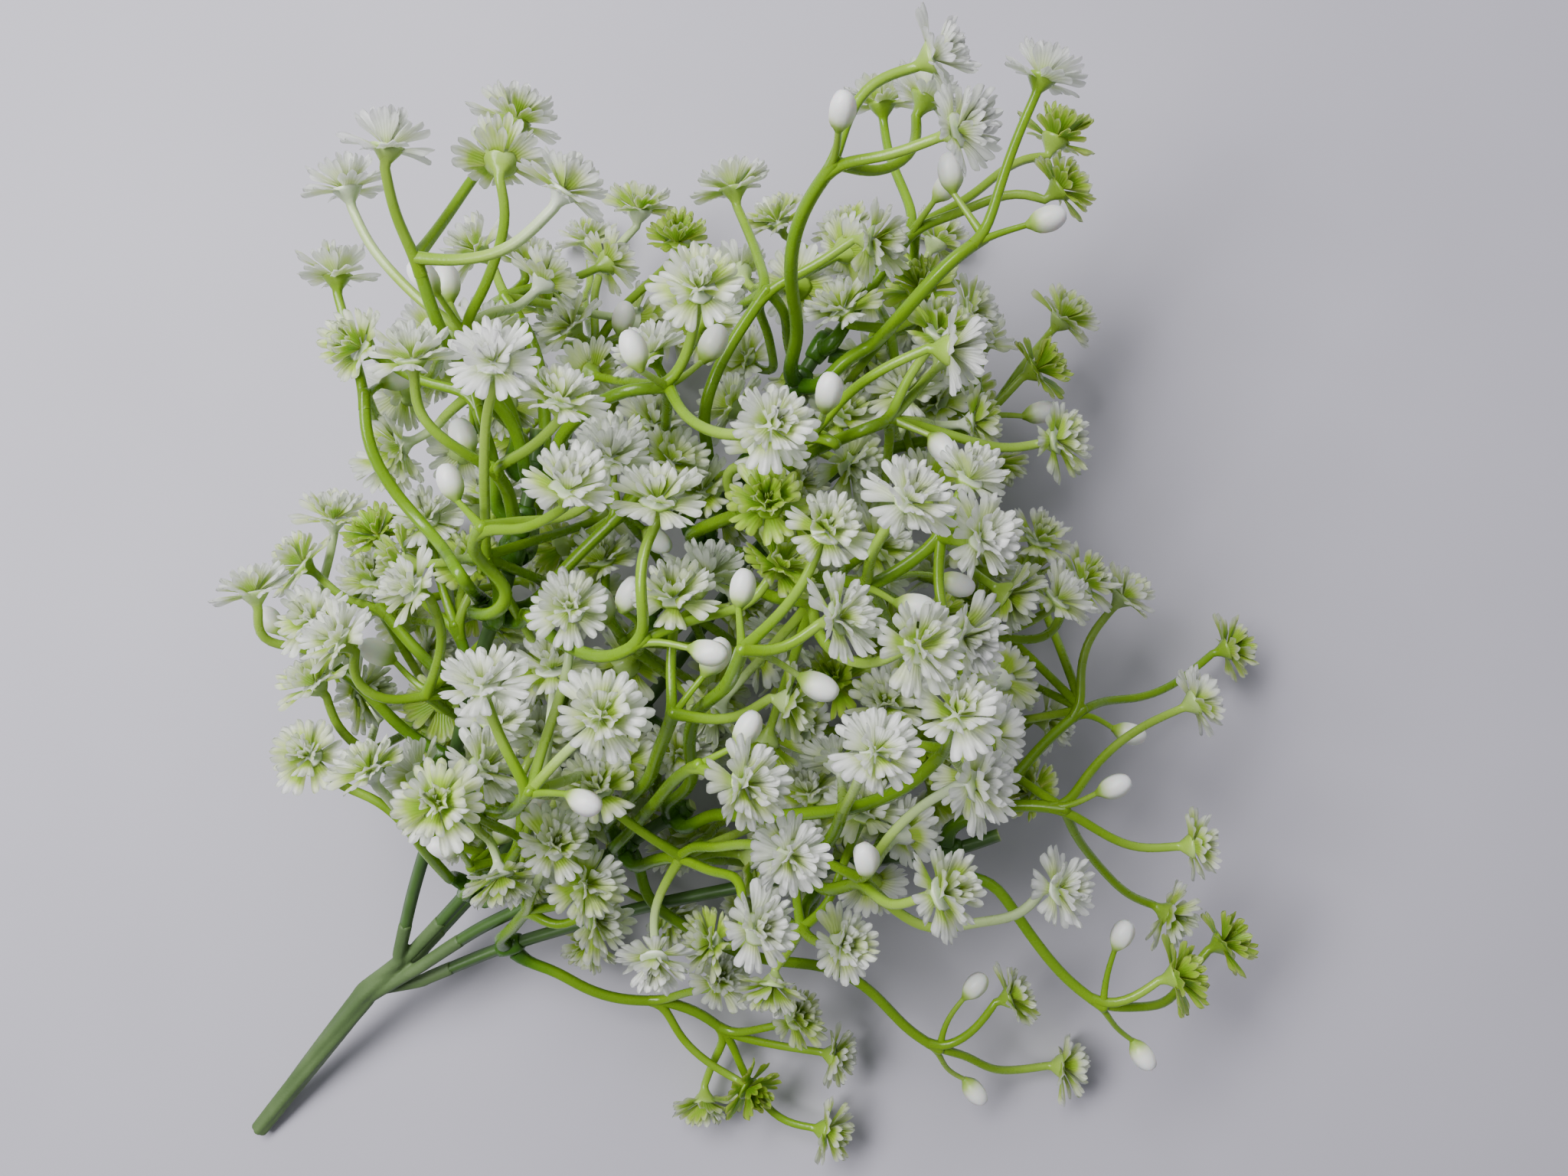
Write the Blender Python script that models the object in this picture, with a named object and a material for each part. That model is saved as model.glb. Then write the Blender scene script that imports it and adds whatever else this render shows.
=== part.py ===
"""An artificial gypsophila bush of moulded plastic, lying on its side.

A handle holds five stems in its sockets. Moulded sprays are pushed on the stems by their collars.
Each spray has arms that fork into flower pedicels and bud stalks. +Z is up from the surface it lies on.
The handle points to -X and -Y, and the bush opens to +X and +Y. The origin is on the surface.
"""

import math

import bmesh
import bpy
import numpy as np
from mathutils.bvhtree import BVHTree

# All sizes are in millimetres until a mesh is written.
METRE = 0.001
VIEW_HEIGHT = 350.0
PLAN_MIDDLE = (-8.9, -15.4)

HANDLE_RADIUS = 2.9
SLEEVE_RADIUS = 2.35
SOCKET_RADIUS = 1.65
SOCKET_DEPTH = 4.5
STEM_RADIUS = 1.25
COLLAR_BORE = 1.8
COLLAR_RADIUS = 2.75
COLLAR_LENGTH = 6.0
ARM_RADIUS = 1.55
PEDICEL_RADIUS = 1.35
STALK_RADIUS = 0.95
POINT_SPACING = 8.5
HUB_RADIUS = 4.6
HUB_ANGLE = 44.0
SHORTEST_STALK = 8.0

HEAD_RADIUS = 7.8
HEAD_PETALS = 6
PETAL_THICKNESS = 0.7
CALYX_LENGTH = 4.4
BUD_RADIUS = 3.0
BUD_LENGTH = 7.6
GAP = 0.9
FLOOR_SINK = 0.4
SEED = 11

# A place is (x, y, z): x and y where it is seen on the surface from VIEW_HEIGHT above it, z its height.
HANDLE = ((-123.4, -127.3, 1.7), (-113, -114, 7.5), (-103, -101.5, 13.5), (-95.5, -92, 19))
STEMS = {
    "stem_a": (
        (-90.5, -86, 24), (-86.5, -69, 34), (-78.5, -43, 48), (-74.5, -27, 56), (-71, -15, 61),
        (-68, -6.5, 65), (-65.5, 0, 67), (-62.5, 12.5, 70), (-60, 21, 71), (-58.5, 30, 72), (-58, 37.5, 72),
    ),
    "stem_b": (
        (-86, -84, 24), (-79.5, -77, 28), (-63, -58, 36), (-49, -34.6, 43), (-31.3, -5.8, 50),
        (-24.5, 1.8, 52), (-18, 13, 54), (-12.5, 23, 56), (-6, 33, 58), (3, 48, 60), (11.3, 60.5, 60),
    ),
    "stem_c": (
        (-84, -88, 24), (-72, -80.3, 29), (-58.3, -73.5, 34), (-50, -68.6, 37), (-40, -62, 41), (-21.4, -50.8, 46),
    ),
    "stem_d": (
        (-83.5, -91.5, 18), (-68.8, -85.5, 21), (-58.3, -82, 24), (-45, -78.2, 28), (-29.5, -74.2, 33),
        (-6.5, -69.5, 38), (13.7, -65.2, 40), (38.9, -61.6, 42), (50.6, -58, 43),
    ),
    "stem_e": (
        (-84.5, -84.5, 15), (-73, -72, 17), (-52, -50, 21), (-30, -24, 25), (-14, -2, 28), (3, 19, 31),
        (10, 26, 33), (20, 31, 34),
    ),
}

# Rows: a spray with its stem and collar place, its arms to their nodes, forks that grow from the last
# node, and the tips on the last node. A tip ends in its facing: azimuth, tilt, then the places it passes.
LAYOUT = (
    ("spray", "spray_a1", "stem_a", -59.2, 26),
    ("arm", -86.5, 77.5, 100, (-61, 33), (-66, 43), (-73, 48.5), (-79, 57), (-84, 69)),
    ("head", -93, 105, 113, 80, 8, (-90, 84), (-93.5, 93)),
    ("head", -63, 111, 84, 75, 5, (-80, 86), (-74, 95), (-68, 103)),
    ("head", -51, 94.5, 113, 55, 10, (-75, 77), (-64, 80), (-57, 86)),
    ("arm", -76, 61, 88, (-62, 34), (-65.5, 44), (-71, 54)),
    ("head", -103, 95, 86, 102, 10, (-81, 64), (-89, 71), (-97, 80)),
    ("part_green", -66.5, 101, 100, 92, -30, (-72, 67), (-68, 77), (-65, 87)),
    ("bud", -85, 73, 97, 130, 20, (-79.5, 66)),
    ("bud", -79, 71, 84, 100, 0, (-77, 66)),
    ("arm", -27, 47, 88, (-56, 31), (-50, 35.5), (-42, 41.5), (-35, 45.3)),
    ("head", -2.5, 38.5, 110, 30, 65, (-24, 41), (-19, 37.5), (-12, 35.3)),
    ("bud", -35.5, 56, 95, 110, 10, (-31, 50)),
    ("head", -20, 71, 100, 80, 60, (-23.5, 54), (-20, 61)),
    ("bud", -17, 57.5, 80, 60, 10, (-22, 50)),
    ("head", -32, 56, 70, 120, 20),
    ("spray", "spray_a2", "stem_a", -61.5, 16),
    ("arm", -70, 27, 92, (-63.5, 20), (-66, 24)),
    ("head", -87.5, 55, 101, 92, 20, (-78, 30.5), (-85, 38), (-89, 47)),
    ("head", -52.5, 45, 106, 80, 30, (-65, 29.5), (-58, 33.5), (-56, 39)),
    ("bud", -75.5, 35.5, 84, 100, 10, (-73.5, 30.5)),
    ("arm", -73, 46, 78, (-66, 24), (-70, 36)),
    ("part_green", -100, 57, 80, 150, 40, (-80, 47.5), (-90, 49.5)),
    ("bud", -72.5, 41, 72, 80, 20),
    ("spray", "spray_a3", "stem_a", -67.8, -6),
    ("arm", -99, 46, 78, (-73, 3), (-83, 13), (-92, 23), (-98, 34)),
    ("head", -105.5, 74.5, 76, 92, 3, (-101, 54), (-105, 64)),
    ("bud", -92, 49, 74, 20, 10),
    ("arm", -71, 14.5, 97, (-63, -2), (-69, 4), (-74, 9.5)),
    ("head", -50, 24, 106, 70, 35, (-64, 13.3), (-57, 14.5), (-53, 18)),
    ("bud", -75, 22.5, 96, 110, 10, (-72.5, 17)),
    ("head", -41, 32, 84, 80, 40, (-60, 16), (-50, 16.5), (-44, 21)),
    ("arm", -32, -11, 96, (-61, -5), (-55, -10), (-47, -13.5), (-39, -14.5)),
    ("head", -30, 21.5, 102, 85, 30, (-33, -3), (-33.5, 7), (-32, 15)),
    ("bud", -21, -12, 96, -10, 20, (-27, -11.5)),
    ("green", -1, 7, 96, 40, 60, (-22, -9.5), (-13, -7), (-7, -2)),
    ("arm", -69.7, 7, 82, (-66, 0)),
    ("head", -68.5, 54, 110, 90, 55, (-70.3, 20), (-70.3, 33), (-69.5, 46)),
    ("head", -65, 20, 62, 80, 30, (-68, 11)),
    ("arm", -38, 18, 68, (-59, -4), (-55, 1), (-47, 9)),
    ("head", -41, 34, 66, 100, 40, (-41, 25)),
    ("head", -27, 31, 78, 50, 45, (-33, 24)),
    ("bud", -30, 11.5, 62, -40, 20),
    ("head", -40, 46.5, 48, 85, 30, (-43, 26), (-43, 36)),
    ("head", -30, 39, 56, 60, 40, (-35, 28)),
    ("spray", "spray_a4", "stem_a", -73.5, -23),
    ("arm", -84, -25, 66, (-78, -25)),
    ("head", -106, -12.5, 78, 150, 25, (-92, -27), (-98.5, -25), (-103, -19)),
    ("head", -88, 0, 84, 150, 35, (-81.5, -18), (-80, -9)),
    ("bud", -96, -15, 64, 150, 20, (-88, -21)),
    ("arm", -77, -9, 56, (-75, -17)),
    ("part_green", -76, -2.5, 60, 90, 40),
    ("head", -84, 17, 58, 95, 45, (-80, 1), (-84, 9)),
    ("green", -96, 13, 46, 120, 35, (-84, -4), (-90, 5)),
    ("arm", -95, -4, 46, (-81, -20), (-87, -14)),
    ("head", -114, 6, 38, 140, 20, (-102, -3), (-108, 0)),
    ("head", -96.5, 2, 40, 90, 30),
    ("spray", "spray_a5", "stem_a", -78, -40.5),
    ("arm", -98, -39, 52, (-84, -43), (-92, -41.5)),
    ("head", -111, -22, 62, 125, 25, (-103, -35), (-108, -30)),
    ("head", -96.5, -29, 40, 80, 40, (-97, -35)),
    ("arm", -112, -14, 52, (-86, -37), (-96, -27), (-105, -19)),
    ("head", -124.5, 0, 62, 100, 5, (-120, -14.5), (-126, -9)),
    ("head", -106, 17, 30, 85, 20, (-110, -5), (-107.5, 5)),
    ("bud", -120, -7, 46, 130, 0),
    ("head", -114, -10, 58, 150, 50),
    ("head", -101, -22, 44, 40, 40, (-106, -17)),
    ("spray", "spray_a6", "stem_a", -83, -55),
    ("arm", -60, -47.5, 92, (-78, -55), (-72, -51.5), (-66, -50)),
    ("head", -71, -22, 98, 95, 35, (-65, -39), (-69.5, -31)),
    ("head", -43, -30, 102, 60, 60, (-53, -43), (-48, -38)),
    ("head", -49.5, -5, 82, 80, 60, (-57, -38), (-53, -26), (-50.5, -14)),
    ("bud", -54, -49, 94, -20, 20),
    ("arm", -74, -52.5, 74, (-79, -55)),
    ("part_green", -81, -50.5, 92, 80, 70, (-79, -54)),
    ("head", -69.5, -44, 84, 40, 30),
    ("head", -63.5, -31.5, 62, 70, 30, (-69, -43)),
    ("spray", "spray_a7", "stem_a", -63.8, 7),
    ("arm", -44, 57, 34, (-60, 14), (-54, 28), (-48.5, 44)),
    ("head", -34, 90, 26, 80, 15, (-45, 67), (-42, 78)),
    ("head", -46, 82, 5, 95, 10, (-47, 68)),
    ("green", -25, 82, 50, 80, 40, (-38, 66), (-30, 73)),
    ("bud", -39.5, 64.5, 42, 80, 15),
    ("head", -48.5, 63.5, 46, 130, 30),
    ("arm", -66, 69, 58, (-61, 20), (-57, 36), (-57, 50), (-61, 62)),
    ("head", -71, 75, 58, 140, 15),
    ("head", -60, 77, 50, 70, 15),
    ("green", -55, 66, 40, 85, 20, (-60, 60)),
    ("spray", "spray_b1", "stem_b", -73.5, -70.5),
    ("arm", -88, -56, 56, (-77, -70), (-83, -63)),
    ("head", -112, -39, 62, 110, 60, (-94, -51), (-101, -46), (-108, -46.5)),
    ("head", -98, -42, 74, 110, 20, (-93, -49)),
    ("arm", -73.5, -65.5, 52, (-71.5, -67)),
    ("bud", -79, -62, 58, 160, 35),
    ("bud", -66, -57, 48, 60, 20, (-69, -60)),
    ("arm", -62, -60, 52, (-68, -69)),
    ("head", -59, -36, 60, 100, 50, (-61, -52), (-61, -44)),
    ("head", -58, -19.5, 64, 95, 30, (-60, -50), (-58.5, -38), (-58, -28)),
    ("spray", "spray_b2", "stem_b", -33, -8.5),
    ("arm", -38.5, -12, 74, (-36, -11)),
    ("bud", -36.5, -1, 86, 60, 20, (-37, -7)),
    ("bud", -40.5, -4.5, 80, 110, 10, (-39.5, -9)),
    ("head", -43, 6, 60, 100, 50, (-42, -4)),
    ("arm", -22, -6, 56, (-27, -10)),
    ("head", -13, -4, 58, 20, 40),
    ("head", -16, 4, 72, 70, 10, (-20, -2)),
    ("spray", "spray_b3", "stem_b", -19, 11),
    ("arm", -4, 70, 72, (-17.8, 20), (-17.8, 33), (-17, 44), (-14, 53), (-10, 61)),
    ("head", -12, 95, 54, 100, 5, (-6.5, 79), (-10, 87)),
    ("head", 21, 80.5, 74, -10, 20, (3, 73), (9, 77)),
    ("head", 2, 50, 56, -90, 40, (-1, 64), (1, 56)),
    ("head", -7, 53, 50, 150, 50, (-4, 62)),
    ("arm", -10, 18, 76, (-14.5, 16)),
    ("green", -4, 18.5, 96, 90, 65),
    ("head", -4, 33, 86, 60, 50, (-14.5, 22), (-14, 29)),
    ("head", -19, 24, 60, 120, 40),
    ("head", 3.5, 25, 52, 30, 30, (-4, 20)),
    ("arm", 20, 0.5, 92, (-12, 7), (-2, 2), (10, 0)),
    ("head", 29, 22, 112, 50, 45, (18, 5), (19, 12), (24, 18)),
    ("bud", 28.5, -2.5, 96, -10, 10),
    ("bud", 41, 1, 74, -20, 0, (28, 3), (35, 4)),
    ("fork", 37, 12, 92, (28, 4.5), (33, 9)),
    ("head", 47, 12, 104, 20, 50),
    ("head", 43, -11, 98, -10, 50, (36, 3), (36.5, -6)),
    ("head", 44, 26.5, 94, 60, 30, (38.5, 17)),
    ("arm", 7, -1, 84, (-11, 6), (-2, -1)),
    ("head", 31, -12, 114, 20, 50, (7.5, -9), (11, -15), (17, -17.3)),
    ("head", 23, 10, 64, 30, 30, (13, 3)),
    ("head", 0, -11, 64, -120, 40, (4, -6)),
    ("spray", "spray_b4", "stem_b", -9.5, 28),
    ("arm", 25, 39.5, 74, (-3, 25), (5, 30), (11, 34), (18, 38)),
    ("head", 65, 35, 70, 10, 30, (33, 37.5), (42, 35), (52, 32.5)),
    ("bud", 29.5, 36, 76, -50, 30),
    ("part_green", 35, 62, 74, 60, 30, (27, 46), (30, 53)),
    ("head", 26, 45, 54, 100, 40),
    ("arm", 7, 36, 84, (-3, 34)),
    ("head", 40, 56, 96, -3, 3, (14, 45), (22, 51), (30, 54)),
    ("bud", 10.3, 46.3, 98, 80, 30, (9.5, 41)),
    ("head", -13.5, 41, 62, 150, 40, (-2, 37)),
    ("head", 15, 43, 56, 60, 40),
    ("head", 13, 32, 64, -30, 40),
    ("spray", "spray_b5", "stem_b", 3.4, 48.6),
    ("arm", 12, 100, 104, (3.5, 60), (1.5, 71), (2, 81), (5, 90)),
    ("bud", 13.5, 111.5, 113, 80, 45, (12, 105)),
    ("head", 36, 125, 104, 20, 20, (16, 113.5), (22, 120)),
    ("head", 42, 108, 114, 10, 35, (22, 101), (31, 103.5)),
    ("head", 34, 116, 90, 60, 5, (20, 97.5), (28, 99.5), (33, 107)),
    ("arm", 47, 82, 84, (14, 54), (24, 61), (32, 68), (40, 75)),
    ("head", 61, 121, 88, 70, 5, (50, 92), (54, 104)),
    ("bud", 61, 86.5, 86, 15, 10, (54, 83)),
    ("bud", 39, 98, 84, 100, 10, (43, 90)),
    ("spray", "spray_b6", "stem_b", 10.2, 59),
    ("arm", 31, 85, 66, (17, 65), (22, 71.5), (27, 80)),
    ("head", 23, 115, 58, 95, 10, (28, 94), (24, 103)),
    ("green", 64, 96, 70, 60, 10, (38, 87), (47, 90.5), (54, 95)),
    ("bud", 37, 93, 72, 50, 20, (34, 89)),
    ("green", 63, 107, 52, 80, 10, (44, 92), (55, 101)),
    ("arm", 24, 61, 62, (18, 60)),
    ("green", 33, 71, 60, 100, 40),
    ("head", 43, 66, 58, 10, 20, (33, 64)),
    ("head", 14, 66, 66, 120, 30),
    ("head", 19, 53, 46, -110, 30),
    ("spray", "spray_c1", "stem_c", -38, -60.8),
    ("arm", -20, -41.5, 92, (-36.5, -55), (-33, -50.5), (-27, -45)),
    ("bud", -13, -35, 94, 60, 10, (-16.5, -38)),
    ("head", -8.5, -46, 102, 10, 45, (-18, -46), (-14, -47.5)),
    ("arm", -25.5, -29.5, 92, (-40, -56.5), (-36, -49.5), (-31, -41), (-27.5, -34)),
    ("head", -25.5, -3, 92, 95, 35, (-25.8, -20), (-24.5, -11)),
    ("bud", -20.5, -22, 93, 60, 10, (-23, -26)),
    ("part_green", 3, -26.5, 90, -10, 5, (-18, -31), (-9, -30.5)),
    ("arm", 36.5, -108.5, 20, (-35, -69), (-30, -75), (-20, -81), (-12, -85.5), (0, -88), (10, -89), (20, -94), (28, -103)),
    ("bud", 45, -93.5, 24, 50, 10, (39.5, -101)),
    ("head", 54, -96, 26, 20, 5, (43, -103.5), (48, -99.5)),
    ("head", 66, -112, 6, 0, 5, (44, -111.5), (52, -114)),
    ("bud", 45, -118.5, 12, -50, 0, (39.5, -113.5)),
    ("arm", -24, -63, 58, (-33, -64.5)),
    ("head", 2, -63, 94, 0, 60, (-16, -61), (-8, -60)),
    ("head", -6, -80, 84, 30, 45, (-16, -66), (-8, -70)),
    ("head", -30.5, -88, 56, -90, 45, (-30, -73), (-31, -80)),
    ("head", -41.5, -47.5, 66, 95, 50, (-32, -57), (-38, -52)),
    ("spray", "spray_c2", "stem_c", -24.5, -52.8),
    ("arm", -11, -13, 102, (-21.5, -46), (-22.5, -37), (-20.5, -28), (-16, -20)),
    ("head", 14, -6, 106, 20, 30, (-2, -11.5), (6, -9)),
    ("head", 10, 13, 100, 60, 60, (-4, -6), (4, 1)),
    ("bud", -5, -1.5, 100, 80, 10, (-8, -8)),
    ("bud", 7.5, -23.5, 92, -25, 10, (-5, -15.5), (1, -20)),
    ("arm", 38, -38, 92, (-18, -53), (-8, -54), (4, -53), (16, -51), (28, -46.5)),
    ("head", 41, -29, 110, 80, 50),
    ("head", 50, -36, 84, 0, 20),
    ("head", 24, -27, 66, 100, 60, (28, -36)),
    ("head", 41.5, -20.5, 84, 80, 30, (40, -30)),
    ("spray", "spray_d1", "stem_d", -64.5, -84),
    ("arm", -60, -75.5, 46, (-64, -79.5)),
    ("bud", -57.5, -50, 66, 60, 10, (-61.5, -66), (-60.5, -57)),
    ("head", -43.5, -78, 52, 0, 25, (-55, -79), (-50, -80)),
    ("head", -46, -69.5, 64, 20, 50, (-54, -73)),
    ("head", -54, -60, 70, 60, 50, (-57.5, -68)),
    ("arm", -28.5, -97, 14, (-60, -86.5), (-52, -91), (-44, -95.5), (-36, -97)),
    ("head", -15, -92, 30, 60, 45, (-24, -95)),
    ("green", -8, -118, 12, -30, 30, (-26, -102), (-21, -108.5), (-15, -114)),
    ("fork", -13, -105, 10, (-21, -100)),
    ("head", -18.5, -121.5, 9, -90, 15, (-16, -110)),
    ("head", 3, -101, 20, 40, 40, (-6, -104)),
    ("head", 10.5, -127.5, 10, -10, 5, (-10.5, -112), (-5, -121), (2, -127)),
    ("head", 12.5, -110, 12, -10, 10, (-3, -107)),
    ("spray", "spray_d2", "stem_d", 7, -66.6),
    ("arm", 18.5, -68.5, 78, (11, -71)),
    ("bud", 19, -64, 86, 100, 30),
    ("head", 38, -71.5, 94, 20, 35, (21.5, -73.5), (27, -75.5)),
    ("head", 46.5, -45, 90, 10, 35, (22, -62), (27, -55.5), (34, -49.5)),
    ("head", 65, -72, 72, 0, 50, (32, -80), (45, -78.5), (56, -77)),
    ("arm", 14.3, -52, 84, (10, -60)),
    ("head", 22, -38, 108, 60, 55, (17, -47)),
    ("head", 12, -42, 66, 110, 40, (13.5, -47)),
    ("arm", 4, -80, 50, (5, -72)),
    ("head", 14, -84, 70, 30, 55, (7, -83)),
    ("head", -2, -94, 42, -90, 40, (0, -86)),
    ("head", -17, -83, 46, 150, 40, (-6, -83)),
    ("head", 17.5, -52.5, 62, 80, 40, (9, -70), (14, -61)),
    ("head", 6, -47, 55, 90, 40, (4, -68), (4, -57)),
    ("spray", "spray_d3", "stem_d", 38.5, -61.7),
    ("arm", 66, -52, 54, (43, -55), (50, -51), (58, -51)),
    ("head", 97.5, -26.5, 38, 25, 5, (72, -43), (79, -36), (87, -31)),
    ("bud", 75, -48, 58, 25, 20),
    ("head", 97, -60.5, 52, 5, 10, (74, -57.5), (81, -61)),
    ("head", 91, -77, 30, -30, 10, (70, -60), (75, -66.5), (82, -73)),
    ("part_green", 57, -47, 36, 150, 30),
    ("arm", 75, -98.5, 44, (46, -66), (54, -76), (62, -87), (69, -94.5)),
    ("bud", 79.5, -81.5, 48, 70, 20, (75.5, -92)),
    ("green", 93, -91, 48, 20, 15, (81, -97.5)),
    ("green", 104, -83, 32, 30, 10, (84, -99), (93, -96)),
    ("bud", 84.5, -110, 36, -55, 5, (79, -103.5)),
    ("arm", 70.5, -29, 34, (46, -54), (55, -45), (63, -36)),
    ("head", 80, -1.5, 32, 50, 10, (69.5, -21), (71.5, -12)),
    ("head", 105, -14, 12, 20, 10, (82, -26.5), (94, -21.5)),
    ("bud", 80, -32.5, 32, -15, 10, (74, -31)),
    ("spray", "spray_e1", "stem_e", 17, 29.8),
    ("arm", 48, 41, 42, (25, 33), (34, 35), (41, 37.5)),
    ("head", 66, 64, 26, 50, 20, (53, 48), (60, 57)),
    ("green", 60, 50, 40, 30, 20, (54, 45.5)),
    ("bud", 59, 43, 40, 15, 0, (54, 41)),
    ("head", 46, 58, 34, 100, 30, (46, 48)),
    ("head", 37, 43, 44, 150, 40),
    ("arm", 27, 68, 18, (20, 40), (23, 52)),
    ("head", 36, 82, 6, 60, 5, (32, 74)),
    ("head", 14, 85, 18, 110, 25, (20, 76)),
    ("head", -2, 87, 24, 120, 25, (16, 72), (5, 80)),
    ("spray", "spray_e2", "stem_e", -6, 8.5),
    ("arm", 46, -10.5, 50, (4, 4), (18, -2), (32, -8)),
    ("head", 65, -2, 58, 50, 20, (54, -10), (60, -8)),
    ("head", 71, 2, 40, 40, 20, (55, -12), (65, -11)),
    ("head", 60, 12, 24, 70, 30, (52, -4)),
    ("green", 25, -11, 46, -140, 40, (36, -16)),
    ("green", 49, -21, 38, -80, 30),
    ("spray", "spray_e3", "stem_e", -34, -29),
    ("arm", 30, -32, 40, (-26, -33), (-12, -36), (4, -38), (18, -36)),
    ("head", 54, -24, 26, 30, 20, (42, -29)),
    ("head", 62, -31, 22, 0, 20, (42, -34), (52, -35)),
    ("green", 12, -22, 54, 120, 50, (22, -30)),
    ("head", 4.5, -33, 52, 160, 45, (20, -33), (12, -34)),
    ("green", 33, -37, 50, -60, 40),
    ("arm", -30, -48, 30, (-34, -36)),
    ("head", -20, -60, 26, -60, 30),
    ("head", -37.5, -38.5, 42, 130, 40),
    ("head", -25, -38.5, 48, 60, 50),
    ("head", -18.5, -36, 36, 50, 30, (-24, -43)),
    ("spray", "spray_e4", "stem_e", -52, -50),
    ("arm", -56, -33, 30, (-57, -44)),
    ("head", -66, -26, 30, 130, 30),
    ("head", -50, -22, 28, 70, 40),
    ("head", -54, -38, 44, 100, 60),
    ("head", -50, -45, 38, -40, 40, (-54, -40)),
    ("arm", -40, -70, 16, (-47, -58)),
    ("head", -26, -78, 14, -30, 20),
    ("head", -46, -84, 12, -120, 15),
)


def lift(x, y, z):
    """The place at height z that is seen at (x, y) on the surface."""
    share = (VIEW_HEIGHT - z) / VIEW_HEIGHT
    return np.array((x * share - PLAN_MIDDLE[0], y * share - PLAN_MIDDLE[1], z), float)


def unit(vector):
    return vector / max(np.linalg.norm(vector), 1e-9)


def facing(azimuth, tilt):
    a = math.radians(azimuth)
    t = math.radians(tilt)
    return np.array((math.cos(t) * math.cos(a), math.cos(t) * math.sin(a), math.sin(t)))


def smooth_path(points, spacing):
    """Points about one spacing apart on a smooth curve through the given ones."""
    points = [np.asarray(p, float) for p in points]
    ends = [2 * points[0] - points[1]] + points + [2 * points[-1] - points[-2]]
    fine = []
    for a, b, c, d in zip(ends, ends[1:], ends[2:], ends[3:]):
        for t in np.linspace(0, 1, 12, endpoint=False):
            fine.append(0.5 * (2 * b + (c - a) * t + (2 * a - 5 * b + 4 * c - d) * t**2 + (3 * b - a - 3 * c + d) * t**3))
    fine = np.array(fine + [points[-1]])
    along = np.concatenate([[0], np.cumsum(np.linalg.norm(np.diff(fine, axis=0), axis=1))])
    count = max(1, round(along[-1] / spacing))
    wanted = np.linspace(0, along[-1], count + 1)
    return np.stack([np.interp(wanted, along, fine[:, k]) for k in range(3)], axis=1)


def lifted_route(start, via, end):
    """A route that climbs evenly from start to end over the seen places between them."""
    share = [(VIEW_HEIGHT - p[2]) / VIEW_HEIGHT for p in (start, end)]
    plan = [(p[:2] + PLAN_MIDDLE) / s for p, s in zip((start, end), share)]
    seen = np.array([plan[0], *via, plan[1]])
    along = np.concatenate([[0], np.cumsum(np.linalg.norm(np.diff(seen, axis=0), axis=1))])
    heights = start[2] + (end[2] - start[2]) * (along / max(along[-1], 1e-9)) ** 0.8
    return [start] + [lift(x, y, z) for (x, y), z in zip(seen[1:-1], heights[1:-1])] + [end]


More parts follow.
